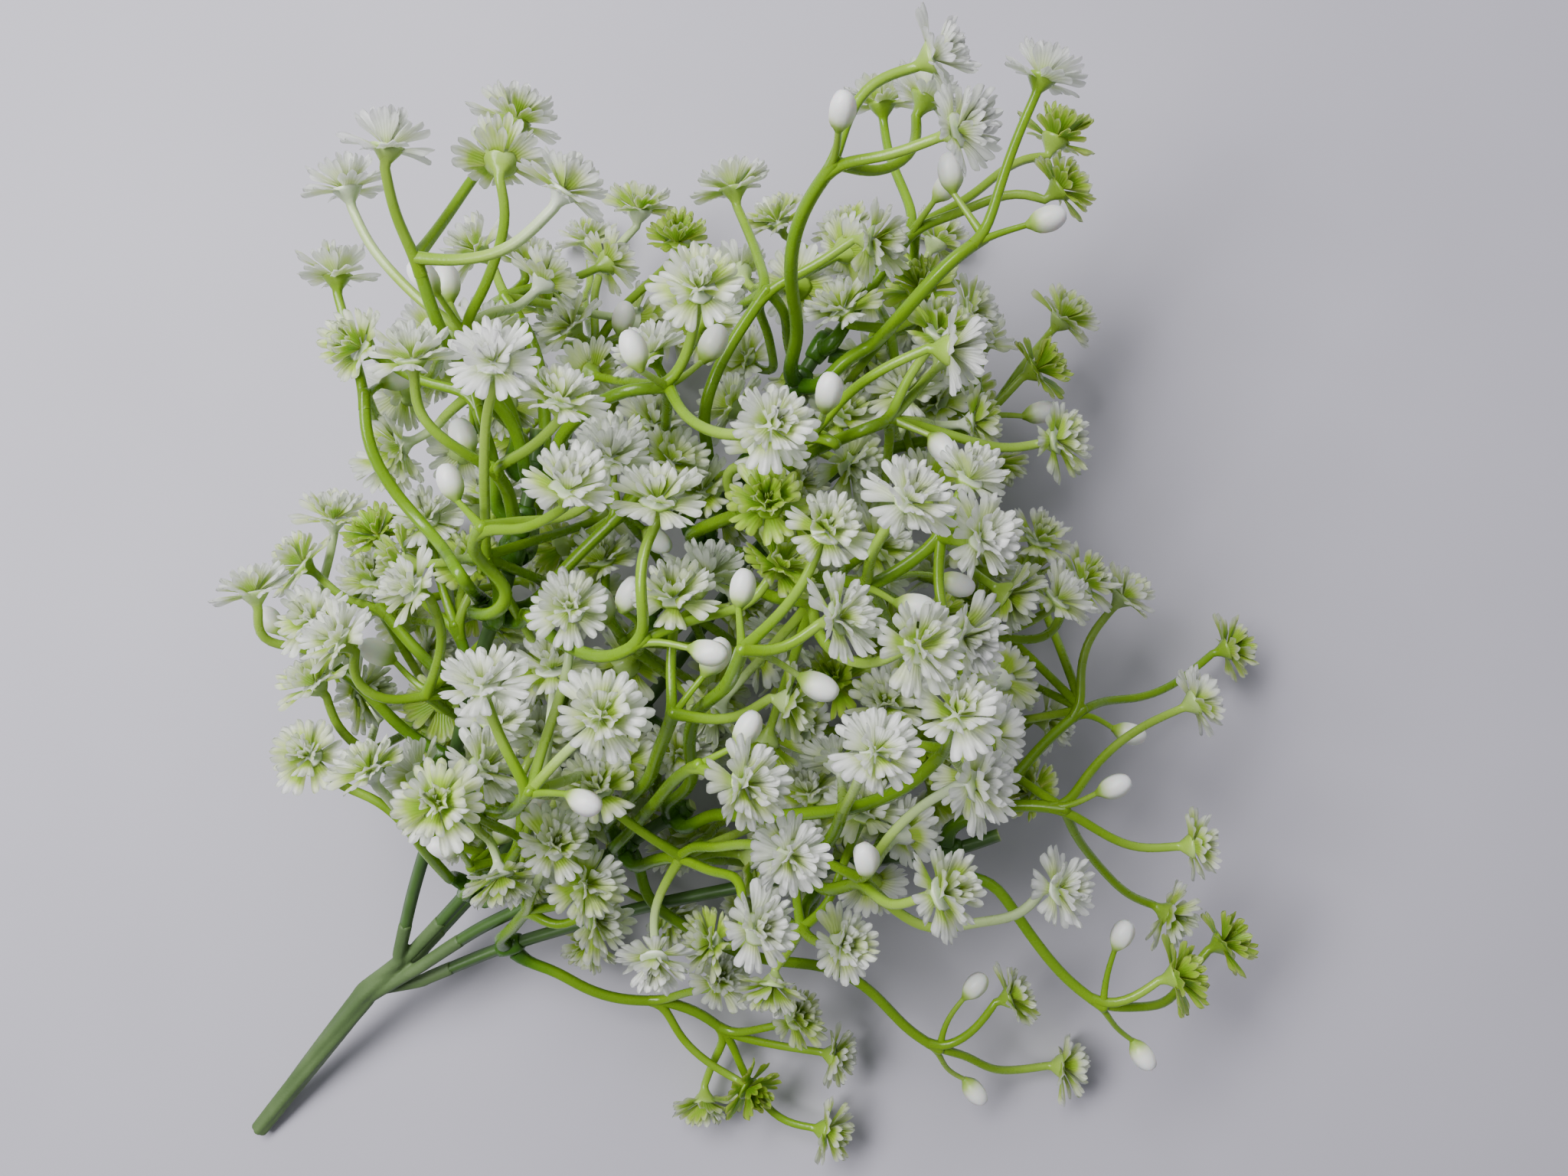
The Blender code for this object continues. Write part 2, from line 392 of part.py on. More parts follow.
class Plant:
    """The bush as points, chains of points, flowers and buds, each owned by one spray or stem."""

    def __init__(self):
        self.points = []
        self.fixed = []
        self.chains = []
        self.collars = []
        self.random = np.random.default_rng(SEED)

    def add_point(self, place, fixed=False):
        self.points.append(np.asarray(place, float))
        self.fixed.append(fixed)
        return len(self.points) - 1

    def add_chain(self, owner, kind, places, radius, start=None, fixed=0, **more):
        """A chain of points. It starts at an existing point, or at its own first place."""
        chain = [self.add_point(places[0], True) if start is None else start]
        for k, place in enumerate(places[1:]):
            chain.append(self.add_point(place, k + 1 < fixed))
        self.chains.append(dict(owner=owner, kind=kind, points=chain, radius=radius, **more))
        return chain[-1]

    def add_tip(self, owner, kind, node, row):
        x, y, z, azimuth, tilt = row[1:6]
        axis = facing(azimuth, tilt)
        size = self.random.uniform(0.94, 1.06)
        behind = 0.5 * BUD_LENGTH if kind == "bud" else CALYX_LENGTH
        base = lift(x, y, z) - axis * behind * size
        away = base - self.points[node]
        base = self.points[node] + unit(away) * max(np.linalg.norm(away), SHORTEST_STALK)
        route = lifted_route(self.points[node], row[6:], base)
        bend = min(6.0, 0.35 * np.linalg.norm(base - route[-2]))
        route.insert(-1, base - axis * bend)
        radius = STALK_RADIUS if kind == "bud" else PEDICEL_RADIUS
        spin = self.random.uniform(0, 2 * math.pi)
        path = smooth_path(route, POINT_SPACING)
        self.add_chain(owner, kind, path, radius, node, axis=axis, size=size, spin=spin)

    def grow(self):
        for name, places in STEMS.items():
            path = smooth_path([lift(*place) for place in places], POINT_SPACING)
            self.add_chain(name, "stem", path, STEM_RADIUS, fixed=len(path))
        rows = list(LAYOUT)
        for k, row in enumerate(rows):
            if row[0] == "spray":
                owner, stem = row[1], row[2]
                centre, along = self.on_stem(stem, row[3], row[4])
                self.collars.append(dict(owner=owner, stem=stem, centre=centre, along=along))
                arms = []
                for later in rows[k + 1 :]:
                    if later[0] == "spray":
                        break
                    if later[0] == "arm":
                        arms.append(lifted_route(centre, later[4:], lift(*later[1:4])))
                leaving = iter(spread_round(centre, along, [route[1] for route in arms]))
                routes = iter(arms)
            elif row[0] == "arm":
                away, route = next(leaving), next(routes)
                root = centre + away * (COLLAR_BORE + 0.45)
                knee = centre + away * (COLLAR_RADIUS + 3.2)
                path = smooth_path([knee] + route[1:], POINT_SPACING)
                node = self.add_chain(owner, "arm", [root, *path], ARM_RADIUS, fixed=2)
            elif row[0] == "fork":
                path = smooth_path(lifted_route(self.points[node], row[4:], lift(*row[1:4])), POINT_SPACING)
                node = self.add_chain(owner, "arm", path, ARM_RADIUS, node)
            else:
                self.add_tip(owner, row[0], node, row)
        self.points = np.array(self.points)
        self.fixed = np.array(self.fixed)

    def on_stem(self, stem, x, y):
        """The stem's point that is seen nearest to (x, y), and its direction there."""
        chain = next(c for c in self.chains if c["owner"] == stem)
        path = smooth_path([self.points[i] for i in chain["points"]], 0.5)
        share = (VIEW_HEIGHT - path[:, 2:]) / VIEW_HEIGHT
        seen = (path[:, :2] + PLAN_MIDDLE) / share
        i = int(np.argmin(np.linalg.norm(seen - (x, y), axis=1)))
        i = min(max(i, 8), len(path) - 9)
        return path[i], unit(path[i + 6] - path[i - 6])

    def balls(self):
        """Balls that fill the bush, as an array with a row for each.

        A row holds two points, the share between them, an offset, a radius, the chain, the owner,
        the nearest hub with the distance to it, and whether the ball is at the root on the collar.
        """
        owners = {name: k for k, name in enumerate(dict.fromkeys(c["owner"] for c in self.chains))}
        rows = []
        for number, chain in enumerate(self.chains):
            owner = owners[chain["owner"]]
            ends = chain["points"]
            steps = [np.linalg.norm(self.points[b] - self.points[a]) for a, b in zip(ends, ends[1:])]
            rooted = chain["kind"] == "arm" and self.fixed[ends[0]]
            before = 0.0
            for a, b, length in zip(ends, ends[1:], steps):
                for t in np.linspace(0, 1, max(2, math.ceil(length / 2.2)), endpoint=False):
                    here = before + t * length
                    to_end = sum(steps) - here
                    hub, far = (ends[0], here) if here < to_end else (ends[-1], to_end)
                    if rooted and here < to_end:
                        hub = -2 - owner
                    root = rooted and here < 6.0
                    rows.append((a, b, t, 0, 0, 0, chain["radius"], number, owner, hub, far, root))
                before += length
            if "axis" in chain:
                for offset, radius in tip_balls(chain):
                    rows.append((ends[-1], ends[-1], 0, *offset, radius, number, owner, ends[-1], 0, 0))
        for number, collar in enumerate(self.collars):
            owner = owners[collar["owner"]]
            stem = next(c for c in self.chains if c["owner"] == collar["stem"])["points"][0]
            for t in (-2, 0, 2):
                offset = collar["centre"] + collar["along"] * t - self.points[stem]
                rows.append((stem, stem, 0, *offset, COLLAR_RADIUS + 0.3, -1 - number, owner, -2 - owner, 0, 1))
        carriers = {owners[c["owner"]]: owners[c["stem"]] for c in self.collars}
        return np.array(rows, float), carriers

    def bend_clear(self, rounds):
        """Moves what would cross something else along the line of sight, and lifts what is below the surface."""
        rows, carriers = self.balls()
        a, b = rows[:, 0].astype(int), rows[:, 1].astype(int)
        t, offset, radius = rows[:, 2:3], rows[:, 3:6], rows[:, 6]
        labels = rows[:, 7:].copy()
        carrier = np.array([carriers.get(int(k), -1) for k in labels[:, 1]])
        movable = ~(self.fixed[a] & self.fixed[b])
        eye = np.array((-PLAN_MIDDLE[0], -PLAN_MIDDLE[1], VIEW_HEIGHT))
        links = np.array([pair for c in self.chains for pair in zip(c["points"], c["points"][1:])])
        degree = np.zeros(len(self.points))
        np.add.at(degree, links.ravel(), 1)
        for step in range(rounds):
            at = self.points[a] * (1 - t) + self.points[b] * t + offset
            if step % 6 == 0:
                i, j = near_pairs(at, radius, labels, carrier, movable)
            between = at[j] - at[i]
            sight = eye - 0.5 * (at[i] + at[j])
            sight /= np.linalg.norm(sight, axis=1, keepdims=True)
            depth = (between * sight).sum(axis=1)
            aside = np.sqrt(np.maximum((between**2).sum(axis=1) - depth**2, 0))
            need = radius[i] + radius[j] + GAP
            wanted = np.sqrt(np.maximum(need**2 - aside**2, 0))
            short = np.clip(wanted - np.abs(depth), 0, 2.0) * (aside < need)
            side = np.where(depth >= 0, 1.0, -1.0)
            straight = between / np.maximum(np.linalg.norm(between, axis=1, keepdims=True), 1e-6)
            share = movable[i].astype(float) + movable[j]
            push = (0.6 * short / share)[:, None] * (side[:, None] * sight + 0.3 * straight)
            move = np.zeros_like(at)
            weight = np.zeros(len(at))
            np.add.at(move, j, push * movable[j][:, None])
            np.add.at(move, i, -push * movable[i][:, None])
            np.add.at(weight, j, short > 0)
            np.add.at(weight, i, short > 0)
            move /= np.maximum(weight, 1)[:, None]
            low = np.maximum(radius - FLOOR_SINK - at[:, 2], 0)
            move[:, 2] += 0.5 * low
            weight = np.maximum(weight, low > 0)
            total = np.zeros_like(self.points)
            share = np.zeros(len(self.points))
            for index, part in ((a, 1 - t[:, 0]), (b, t[:, 0])):
                np.add.at(total, index, move * part[:, None])
                np.add.at(share, index, part * (weight > 0))
            total /= np.maximum(share, 0.35)[:, None]
            spread = np.zeros_like(total)
            np.add.at(spread, links[:, 0], total[links[:, 1]])
            np.add.at(spread, links[:, 1], total[links[:, 0]])
            total = 0.7 * total + 0.3 * spread / np.maximum(degree, 1)[:, None]
            total[self.fixed] = 0
            self.points += np.clip(total, -1.5, 1.5)
            if step % 5 == 4 or step > rounds - 5:
                self.open_forks()
        self.ease_tips()

    def open_forks(self):
        """Turns what leaves a hub apart, and keeps what is joined to it outside the hub."""
        for hub, ends in self.hubs().items():
            near = [chain["points"][1] if first else chain["points"][-2] for chain, first in ends]
            away = np.array([self.points[i] - self.points[hub] for i in near])
            reach = np.maximum(np.linalg.norm(away, axis=1), HUB_RADIUS + 1.6)
            held = np.array([self.fixed[i] for i in near])
            turned = spread_apart([unit(v) for v in away], held, HUB_ANGLE)
            for i, direction, length, fixed in zip(near, turned, reach, held):
                if not fixed:
                    self.points[i] = self.points[hub] + direction * length

    def ease_tips(self, widest=60.0):
        """Turns a flower or bud that would fold its stalk over."""
        for chain in self.chains:
            if "axis" not in chain:
                continue
            heading = unit(self.points[chain["points"][-1]] - self.points[chain["points"][-2]])
            angle = math.degrees(math.acos(float(np.clip(heading @ chain["axis"], -1, 1))))
            if angle > widest:
                across = unit(chain["axis"] - heading * heading.dot(chain["axis"]))
                turn = math.radians(widest)
                chain["axis"] = heading * math.cos(turn) + across * math.sin(turn)

    def hubs(self):
        """The point of each hub, with the chains that meet there and whether each one starts there."""
        found = {}
        for chain in self.chains:
            if chain["kind"] == "arm":
                found.setdefault(chain["points"][-1], []).append((chain, False))
        for chain in self.chains:
            if chain["points"][0] in found:
                found[chain["points"][0]].append((chain, True))
        return found


def spread_apart(directions, held, smallest):
    """Directions turned as little as leaves them a smallest angle apart. Held ones stay."""
    directions = np.array(directions)
    for _ in range(30):
        worst = False
        for i in range(len(directions)):
            for j in range(i + 1, len(directions)):
                angle = math.degrees(math.acos(float(np.clip(directions[i] @ directions[j], -1, 1))))
                if angle >= smallest:
                    continue
                worst = True
                across = unit(directions[j] - directions[i] + 1e-4)
                turn = math.radians(0.55 * (smallest + 0.5 - angle))
                for k, sign in ((i, -1), (j, 1)):
                    if not held[k]:
                        directions[k] = unit(directions[k] + across * sign * turn)
        if not worst:
            break
    return directions


def spread_round(centre, along, places, smallest=70.0):
    """Directions square to a stem towards the places, turned to be a smallest angle apart."""
    side, up = frame_of(along)
    angles = np.array([math.atan2((p - centre) @ up, (p - centre) @ side) for p in places])
    for _ in range(60):
        for i in range(len(angles)):
            for j in range(i + 1, len(angles)):
                apart = (angles[j] - angles[i] + math.pi) % (2 * math.pi) - math.pi
                lack = math.radians(smallest) - abs(apart)
                if lack > 0:
                    sign = 1.0 if apart >= 0 else -1.0
                    angles[i] -= 0.5 * sign * lack
                    angles[j] += 0.5 * sign * lack
    return [side * math.cos(angle) + up * math.sin(angle) for angle in angles]


def near_pairs(at, radius, labels, carrier, movable):
    """Pairs of balls that may meet and don't belong together."""
    chain, owner, hub, far, root = labels.T
    firsts, seconds = [], []
    for start in range(0, len(at), 400):
        block = slice(start, start + 400)
        apart = np.linalg.norm(at[block, None] - at[None, start:], axis=2)
        i, j = np.nonzero(apart < radius[block, None] + radius[None, start:] + 5.0)
        i += start
        j += start
        keep = (j > i) & (chain[i] != chain[j]) & (movable[i] | movable[j])
        i, j = i[keep], j[keep]
        joined = (hub[i] == hub[j]) & (far[i] < 10) & (far[j] < 10)
        at_home = ((root[i] > 0) & (carrier[i] == owner[j])) | ((root[j] > 0) & (carrier[j] == owner[i]))
        keep = ~joined & ~at_home
        firsts.append(i[keep])
        seconds.append(j[keep])
    return np.concatenate(firsts), np.concatenate(seconds)


def frame_of(axis):
    side = unit(np.cross(axis, (0.0, 0.0, 1.0) if abs(axis[2]) < 0.9 else (1.0, 0.0, 0.0)))
    return side, np.cross(axis, side)


def tip_balls(tip):
    """Balls, as offset from the tip's base and radius, that hold a head or a bud."""
    axis, size = tip["axis"], tip["size"]
    if tip["kind"] == "bud":
        return [(axis * 2.2 * size, 2.7 * size), (axis * 5.0 * size, 2.9 * size)]
    side, up = frame_of(axis)
    balls = [(axis * 2.4 * size, 2.3 * size), (axis * 6.2 * size, 3.0 * size)]
    for k in range(HEAD_PETALS):
        turn = tip["spin"] + 2 * math.pi * k / HEAD_PETALS
        out = side * math.cos(turn) + up * math.sin(turn)
        balls.append(((axis * (CALYX_LENGTH + 1.3) + out * 5.4) * size, 2.6 * size))
    return balls


def ring(bm, centre, side, up, radius, sides, turn=0.0):
    """A closed loop of vertices round a centre."""
    loop = []
    for k in range(sides):
        angle = turn + 2 * math.pi * k / sides
        loop.append(bm.verts.new(centre + (side * math.cos(angle) + up * math.sin(angle)) * radius))
    return loop


def band(bm, lower, upper):
    """Faces between two loops, of which the upper one has as many vertices or more."""
    m, n = len(lower), len(upper)
    if m == n:
        for k in range(n):
            after = (k + 1) % n
            bm.faces.new((lower[k], lower[after], upper[after], upper[k]))
        return
    for k in range(n):
        here = math.floor((k + 0.5) * m / n + 0.5)
        after = math.floor((k + 1.5) * m / n + 0.5)
        bm.faces.new((lower[here % m], upper[(k + 1) % n], upper[k]))
        if after != here:
            bm.faces.new((lower[here % m], lower[after % m], upper[(k + 1) % n]))


def plain_route(places, tolerance):
    """The places that keep a route within a tolerance of the full one."""
    if len(places) < 3:
        return list(places)
    places = np.array(places)
    chord = unit(places[-1] - places[0])
    away = places - places[0]
    away = np.linalg.norm(away - np.outer(away @ chord, chord), axis=1)
    far = int(np.argmax(away[1:-1])) + 1
    if away[far] < tolerance:
        return [places[0], places[-1]]
    return plain_route(places[: far + 1], tolerance)[:-1] + plain_route(places[far:], tolerance)


def headings(places):
    found = []
    for k in range(len(places)):
        before = unit(places[k] - places[k - 1]) if k else unit(places[1] - places[0])
        after = unit(places[k + 1] - places[k]) if k + 1 < len(places) else before
        found.append(unit(before + after))
    return found


def tube_loops(bm, places, radius, sides, turn, side=None, first=None, last=None):
    """Rings along places, their section carried back without twist from the last place."""
    directions = headings(places)
    if first is not None:
        directions[0] = first
    if last is not None:
        directions[-1] = last
    if side is None:
        side = frame_of(directions[-1])[0]
    loops = []
    for k in range(len(places) - 1, -1, -1):
        side = unit(side - directions[k] * side.dot(directions[k]))
        up = np.cross(directions[k], side)
        loops.append(ring(bm, places[k], side, up, radius, sides, turn))
    loops.reverse()
    for lower, upper in zip(loops, loops[1:]):
        band(bm, lower, upper)
    return loops


def tube(name, places, radius, sides=4, turn=0.25 * math.pi):
    """A closed tube along places."""
    bm = bmesh.new()
    loops = tube_loops(bm, places, radius, sides, turn)
    bm.faces.new(loops[0])
    bm.faces.new(loops[-1])
    return new_object(name, bm)


def new_object(name, bm):
    """An object from a mesh that was built in millimetres."""
    bmesh.ops.scale(bm, vec=(METRE, METRE, METRE), verts=bm.verts)
    bmesh.ops.recalc_face_normals(bm, faces=bm.faces)
    mesh = bpy.data.meshes.new(name)
    bm.to_mesh(mesh)
    bm.free()
    shade(mesh)
    obj = bpy.data.objects.new(name, mesh)
    bpy.context.scene.collection.objects.link(obj)
    return obj


def shade(mesh):
    mesh.shade_smooth()
    mesh.set_sharp_from_angle(angle=math.radians(38))


def add_flower(bm, ends, tip):
    """A double flower on the ring at its pedicel's end.

    It has a trumpet calyx, outer petals spread wide, and a raised inner crown.
    """
    base, axis, size = tip["base"], tip["axis"], tip["size"]
    side, up = frame_of(axis)
    half = math.pi / HEAD_PETALS

    def point(step, radius, height):
        angle = tip["spin"] + half * step
        out = side * math.cos(angle) + up * math.sin(angle)
        return bm.verts.new(base + (axis * height + out * radius) * size)

    lower, upper, crown = [], [], []
    for k in range(HEAD_PETALS):
        lower.append(point(2 * k, HEAD_RADIUS, CALYX_LENGTH + 1.7))
        upper.append(point(2 * k, HEAD_RADIUS, CALYX_LENGTH + 1.7 + PETAL_THICKNESS / size))
        valley = point(2 * k + 1, 5.4, CALYX_LENGTH + 0.5)
        lower.append(valley)
        upper.append(valley)
        raised = k % 2 == 0
        crown.append(point(2 * k + 1, 4.2 if raised else 2.2, CALYX_LENGTH + (4.7 if raised else 1.9)))
    band(bm, ends, lower)
    middle = point(0, 0.0, CALYX_LENGTH + 2.4)
    for k in range(HEAD_PETALS):
        before, after = 2 * k - 1, (2 * k + 1) % len(upper)
        bm.faces.new((lower[before], lower[2 * k], upper[2 * k]))
        bm.faces.new((lower[2 * k], lower[after], upper[2 * k]))
        bm.faces.new((upper[before], upper[2 * k], crown[k - 1]))
        bm.faces.new((upper[2 * k], upper[after], crown[k]))
        bm.faces.new((upper[2 * k], crown[k], crown[k - 1]))
        bm.faces.new((crown[k - 1], crown[k], middle))


def add_bud(bm, ends, tip):
    """An egg-shaped bud on the ring at its stalk's end."""
    base, axis, size = tip["base"], tip["axis"], tip["size"]
    side, up = frame_of(axis)
    cup = ring(bm, base + axis * 1.9 * size, side, up, 2.5 * size, 6, tip["spin"])
    belly = ring(bm, base + axis * 4.9 * size, side, up, BUD_RADIUS * size, 6, tip["spin"])
    band(bm, ends, cup)
    band(bm, cup, belly)
    point = bm.verts.new(base + axis * BUD_LENGTH * size)
    for k in range(6):
        bm.faces.new((belly[k], belly[(k + 1) % 6], point))


def tree_object(name, plant, root, hubs):
    """An arm with all that grows from it, as one closed surface."""
    bm = bmesh.new()
    waiting = [(root, None)]
    rings = {}
    while waiting:
        chain, hub = waiting.pop()
        path = [plant.points[i] for i in chain["points"]]
        first = last = side = None
        reach = math.sqrt(HUB_RADIUS**2 - chain["radius"] ** 2)
        sides, turn = 4, 0.25 * math.pi
        if hub is not None:
            first = unit(path[1] - path[0])
            path[0] = path[0] + first * reach
        if chain["kind"] == "arm":
            last = unit(path[-1] - path[-2])
            path[-1] = path[-1] - last * reach
        else:
            last = chain["axis"]
            side = frame_of(last)[0]
            path[-1] = path[-1] - last * 0.3
            sides, turn = 3, chain["spin"]
        inner = path[2:] if hub is None else path[1:]
        head = path[:2] if hub is None else path[:1]
        places = head[:-1] + plain_route(head[-1:] + inner, 0.9)
        loops = tube_loops(bm, places, chain["radius"], sides, turn, side, first, last)
        if hub is None:
            bm.faces.new(loops[0])
        else:
            rings[hub].append(loops[0])
        if chain["kind"] == "arm":
            end = chain["points"][-1]
            rings[end] = [loops[-1]]
            waiting += [(other, end) for other, starts in hubs[end] if starts]
        else:
            tip = dict(chain, base=plant.points[chain["points"][-1]])
            (add_bud if chain["kind"] == "bud" else add_flower)(bm, loops[-1], tip)
    for loops in rings.values():
        skin_hub(bm, loops)
    return new_object(name, bm)


def skin_hub(bm, loops):
    """Closes a hub with the convex skin of the rings that meet round it, left open at each ring."""
    number = {vert: k for k, loop in enumerate(loops) for vert in loop}
    before = set(bm.faces)
    bmesh.ops.convex_hull(bm, input=list(number), use_existing_faces=False)
    caps = []
    for face in bm.faces:
        if face not in before and len({number[vert] for vert in face.verts}) == 1:
            caps.append(face)
    bmesh.ops.delete(bm, geom=caps, context="FACES_ONLY")


def collar_object(name, centre, along):
    """A sleeve that is pushed over a stem."""
    bm = bmesh.new()
    side, up = frame_of(along)
    half = 0.5 * COLLAR_LENGTH
    loops = []
    for height, radius in ((-half, COLLAR_BORE), (-half, COLLAR_RADIUS - 0.2), (half, COLLAR_RADIUS), (half, COLLAR_BORE)):
        loops.append(ring(bm, centre + along * height, side, up, radius, 8))
    for lower, upper in zip(loops, loops[1:] + loops[:1]):
        band(bm, lower, upper)
    return new_object(name, bm)


def crosses_itself(obj):
    """Whether faces of the mesh that share no vertex cross."""
    bm = bmesh.new()
    bm.from_mesh(obj.data)
    bmesh.ops.scale(bm, vec=(1 / METRE, 1 / METRE, 1 / METRE), verts=bm.verts)
    bmesh.ops.triangulate(bm, faces=bm.faces)
    bm.faces.ensure_lookup_table()
    tree = BVHTree.FromBMesh(bm)
    crossing = [
        (i, j) for i, j in tree.overlap(tree) if i < j and not set(bm.faces[i].verts) & set(bm.faces[j].verts)
    ]
    bm.free()
    return bool(crossing)


def fuse(base, pieces):
    """Joins the pieces to the base by one Boolean union, and removes them."""
    crossing = any(crosses_itself(piece) for piece in pieces)
    group = bpy.data.collections.new(base.name + "_pieces")
    bpy.context.scene.collection.children.link(group)
    for piece in pieces:
        bpy.context.scene.collection.objects.unlink(piece)
        group.objects.link(piece)
    union = base.modifiers.new("union", "BOOLEAN")
    union.operation = "UNION"
    union.solver = "EXACT" if crossing else "MANIFOLD"
    union.use_self = crossing
    union.operand_type = "COLLECTION"
    union.collection = group
    apply_modifiers(base)
    for piece in pieces:
        bpy.data.objects.remove(piece)
    bpy.data.collections.remove(group)
    if crossing:
        keep_largest(base)


def keep_largest(obj):
    """Drops the scraps and the sealed hollows that a union leaves."""
    bm = bmesh.new()
    bm.from_mesh(obj.data)
    islands = []
    left = set(bm.verts)
    while left:
        island = set()
        waiting = [left.pop()]
        while waiting:
            vert = waiting.pop()
            island.add(vert)
            for edge in vert.link_edges:
                other = edge.other_vert(vert)
                if other in left:
                    left.remove(other)
                    waiting.append(other)
        islands.append(island)
    islands.sort(key=len)
    scraps = [vert for island in islands[:-1] for vert in island]
    bmesh.ops.delete(bm, geom=scraps, context="VERTS")
    bm.to_mesh(obj.data)
    bm.free()


def cut(base, cutter):
    """Takes the cutter's shape out of the base, and removes the cutter."""
    difference = base.modifiers.new("cut", "BOOLEAN")
    difference.operation = "DIFFERENCE"
    difference.solver = "MANIFOLD"
    difference.object = cutter
    apply_modifiers(base)
    bpy.data.objects.remove(cutter)


def apply_modifiers(obj):
    bpy.context.view_layer.update()
    graph = bpy.context.evaluated_depsgraph_get()
    mesh = bpy.data.meshes.new_from_object(obj.evaluated_get(graph))
    obj.modifiers.clear()
    obj.data = mesh
    shade(mesh)


def flatten_below(obj):
    """Cuts flat what reaches below the surface."""
    lowest = min(v.co.z for v in obj.data.vertices)
    if lowest > -0.02 * METRE:
        return
    bm = bmesh.new()
    bmesh.ops.create_cube(bm, size=1.0)
    bmesh.ops.scale(bm, vec=(600, 600, 20), verts=bm.verts)
    bmesh.ops.translate(bm, vec=(0, 0, -10), verts=bm.verts)
    cut(obj, new_object("surface", bm))


def plain_material(name, colour, roughness):
    material = bpy.data.materials.new(name)
    material.use_nodes = True
    shader = material.node_tree.nodes["Principled BSDF"]
    shader.inputs["Base Color"].default_value = (*colour, 1.0)
    shader.inputs["Roughness"].default_value = roughness
    shader.inputs["Metallic"].default_value = 0.0
    material.diffuse_color = (*colour, 1.0)
    return material


def handle_object(plant):
    """The grip with a sleeve for each stem, and a socket in each sleeve."""
    grip = smooth_path([lift(*place) for place in HANDLE], 9.0)
    handle = tube("handle", grip, HANDLE_RADIUS, sides=8, turn=math.pi / 8)
    sleeves = []
    cutters = []
    for name in STEMS:
        chain = next(c for c in plant.chains if c["owner"] == name)
        start, after = plant.points[chain["points"][0]], plant.points[chain["points"][1]]
        along = unit(after - start)
        mouth = start + along * SOCKET_DEPTH
        route = smooth_path([grip[-2], grip[-1], start - along * 2.0, mouth], 7.0)
        sleeves.append(tube(name + "_sleeve", plain_route(route, 0.4), SLEEVE_RADIUS, sides=6))
        cutters.append(tube(name + "_socket", (start - along * 0.4, mouth + along * 3), SOCKET_RADIUS, sides=6))
    fuse(handle, sleeves)
    for cutter in cutters:
        cut(handle, cutter)
    flatten_below(handle)
    return handle


def main():
    for obj in list(bpy.data.objects):
        bpy.data.objects.remove(obj)
    plant = Plant()
    plant.grow()
    for rounds in (180, 80, 40):
        plant.bend_clear(rounds)
    green = plain_material("sage_plastic", (0.17, 0.28, 0.12), 0.55)
    stem_green = plain_material("dark_stem_plastic", (0.03, 0.15, 0.05), 0.45)
    spray_green = plain_material("spray_plastic", (0.36, 0.52, 0.12), 0.4)
    handle_object(plant).data.materials.append(green)
    for name in STEMS:
        chain = next(c for c in plant.chains if c["owner"] == name)
        path = plain_route(plant.points[chain["points"]], 0.4)
        stem = tube(name, path, STEM_RADIUS, sides=6)
        stem.data.materials.append(stem_green.copy())
    hubs = plant.hubs()
    for collar in plant.collars:
        owner = collar["owner"]
        spray = collar_object(owner, collar["centre"], collar["along"])
        trees = []
        for chain in plant.chains:
            if chain["owner"] == owner and chain["kind"] == "arm" and plant.fixed[chain["points"][0]]:
                trees.append(tree_object("arm", plant, chain, hubs))
        fuse(spray, trees)
        flatten_below(spray)
        spray.data.materials.append(spray_green.copy())


main()
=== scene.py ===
"""An artificial gypsophila bush of moulded plastic, lying on a pale surface.

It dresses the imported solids. Each spray gets finer stalks, double flowers with lobed petals, and pleated buds,
on the same routes as its solid. The stems get their flutes and the grip its moulded shape.
"""

import functools
import math

import bmesh
import bpy
import numpy as np
from mathutils import Matrix


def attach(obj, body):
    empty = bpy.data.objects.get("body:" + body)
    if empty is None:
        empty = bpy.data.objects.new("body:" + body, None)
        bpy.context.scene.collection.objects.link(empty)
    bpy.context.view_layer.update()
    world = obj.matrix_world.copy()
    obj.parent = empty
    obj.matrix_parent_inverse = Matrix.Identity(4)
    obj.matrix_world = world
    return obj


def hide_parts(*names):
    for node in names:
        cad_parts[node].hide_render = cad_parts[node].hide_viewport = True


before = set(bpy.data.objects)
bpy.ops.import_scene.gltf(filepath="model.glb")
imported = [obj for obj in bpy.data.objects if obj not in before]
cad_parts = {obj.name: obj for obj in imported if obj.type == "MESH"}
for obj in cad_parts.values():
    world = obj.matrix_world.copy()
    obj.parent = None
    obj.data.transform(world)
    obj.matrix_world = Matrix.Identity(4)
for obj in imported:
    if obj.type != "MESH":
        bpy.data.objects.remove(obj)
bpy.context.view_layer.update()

bl_info = {
    "name": "Gypsophila Bush",
    "version": (1, 0, 0),
    "blender": (4, 5, 0),
    "location": "3D View > Sidebar > Bush",
    "description": "Builds an artificial gypsophila bush and the surface it lies on",
    "category": "Add Mesh",
}

# All sizes are in millimetres until a mesh is written.
METRE = 0.001
VIEW_HEIGHT = 350.0
PLAN_MIDDLE = (-8.9, -15.4)

# The solids' own sizes, which the routes are bent clear by.
STEM_RADIUS = 1.25
COLLAR_BORE = 1.8
COLLAR_RADIUS = 2.75
ARM_RADIUS = 1.55
PEDICEL_RADIUS = 1.35
STALK_RADIUS = 0.95
POINT_SPACING = 8.5
HUB_RADIUS = 4.6
HUB_ANGLE = 44.0
SHORTEST_STALK = 8.0

HEAD_PETALS = 6
CALYX_LENGTH = 4.4
BUD_LENGTH = 7.6
GAP = 0.9
FLOOR_SINK = 0.4
SEED = 11

PICTURE_WIDTH = 368.6
FLOWER_FORMS = 4
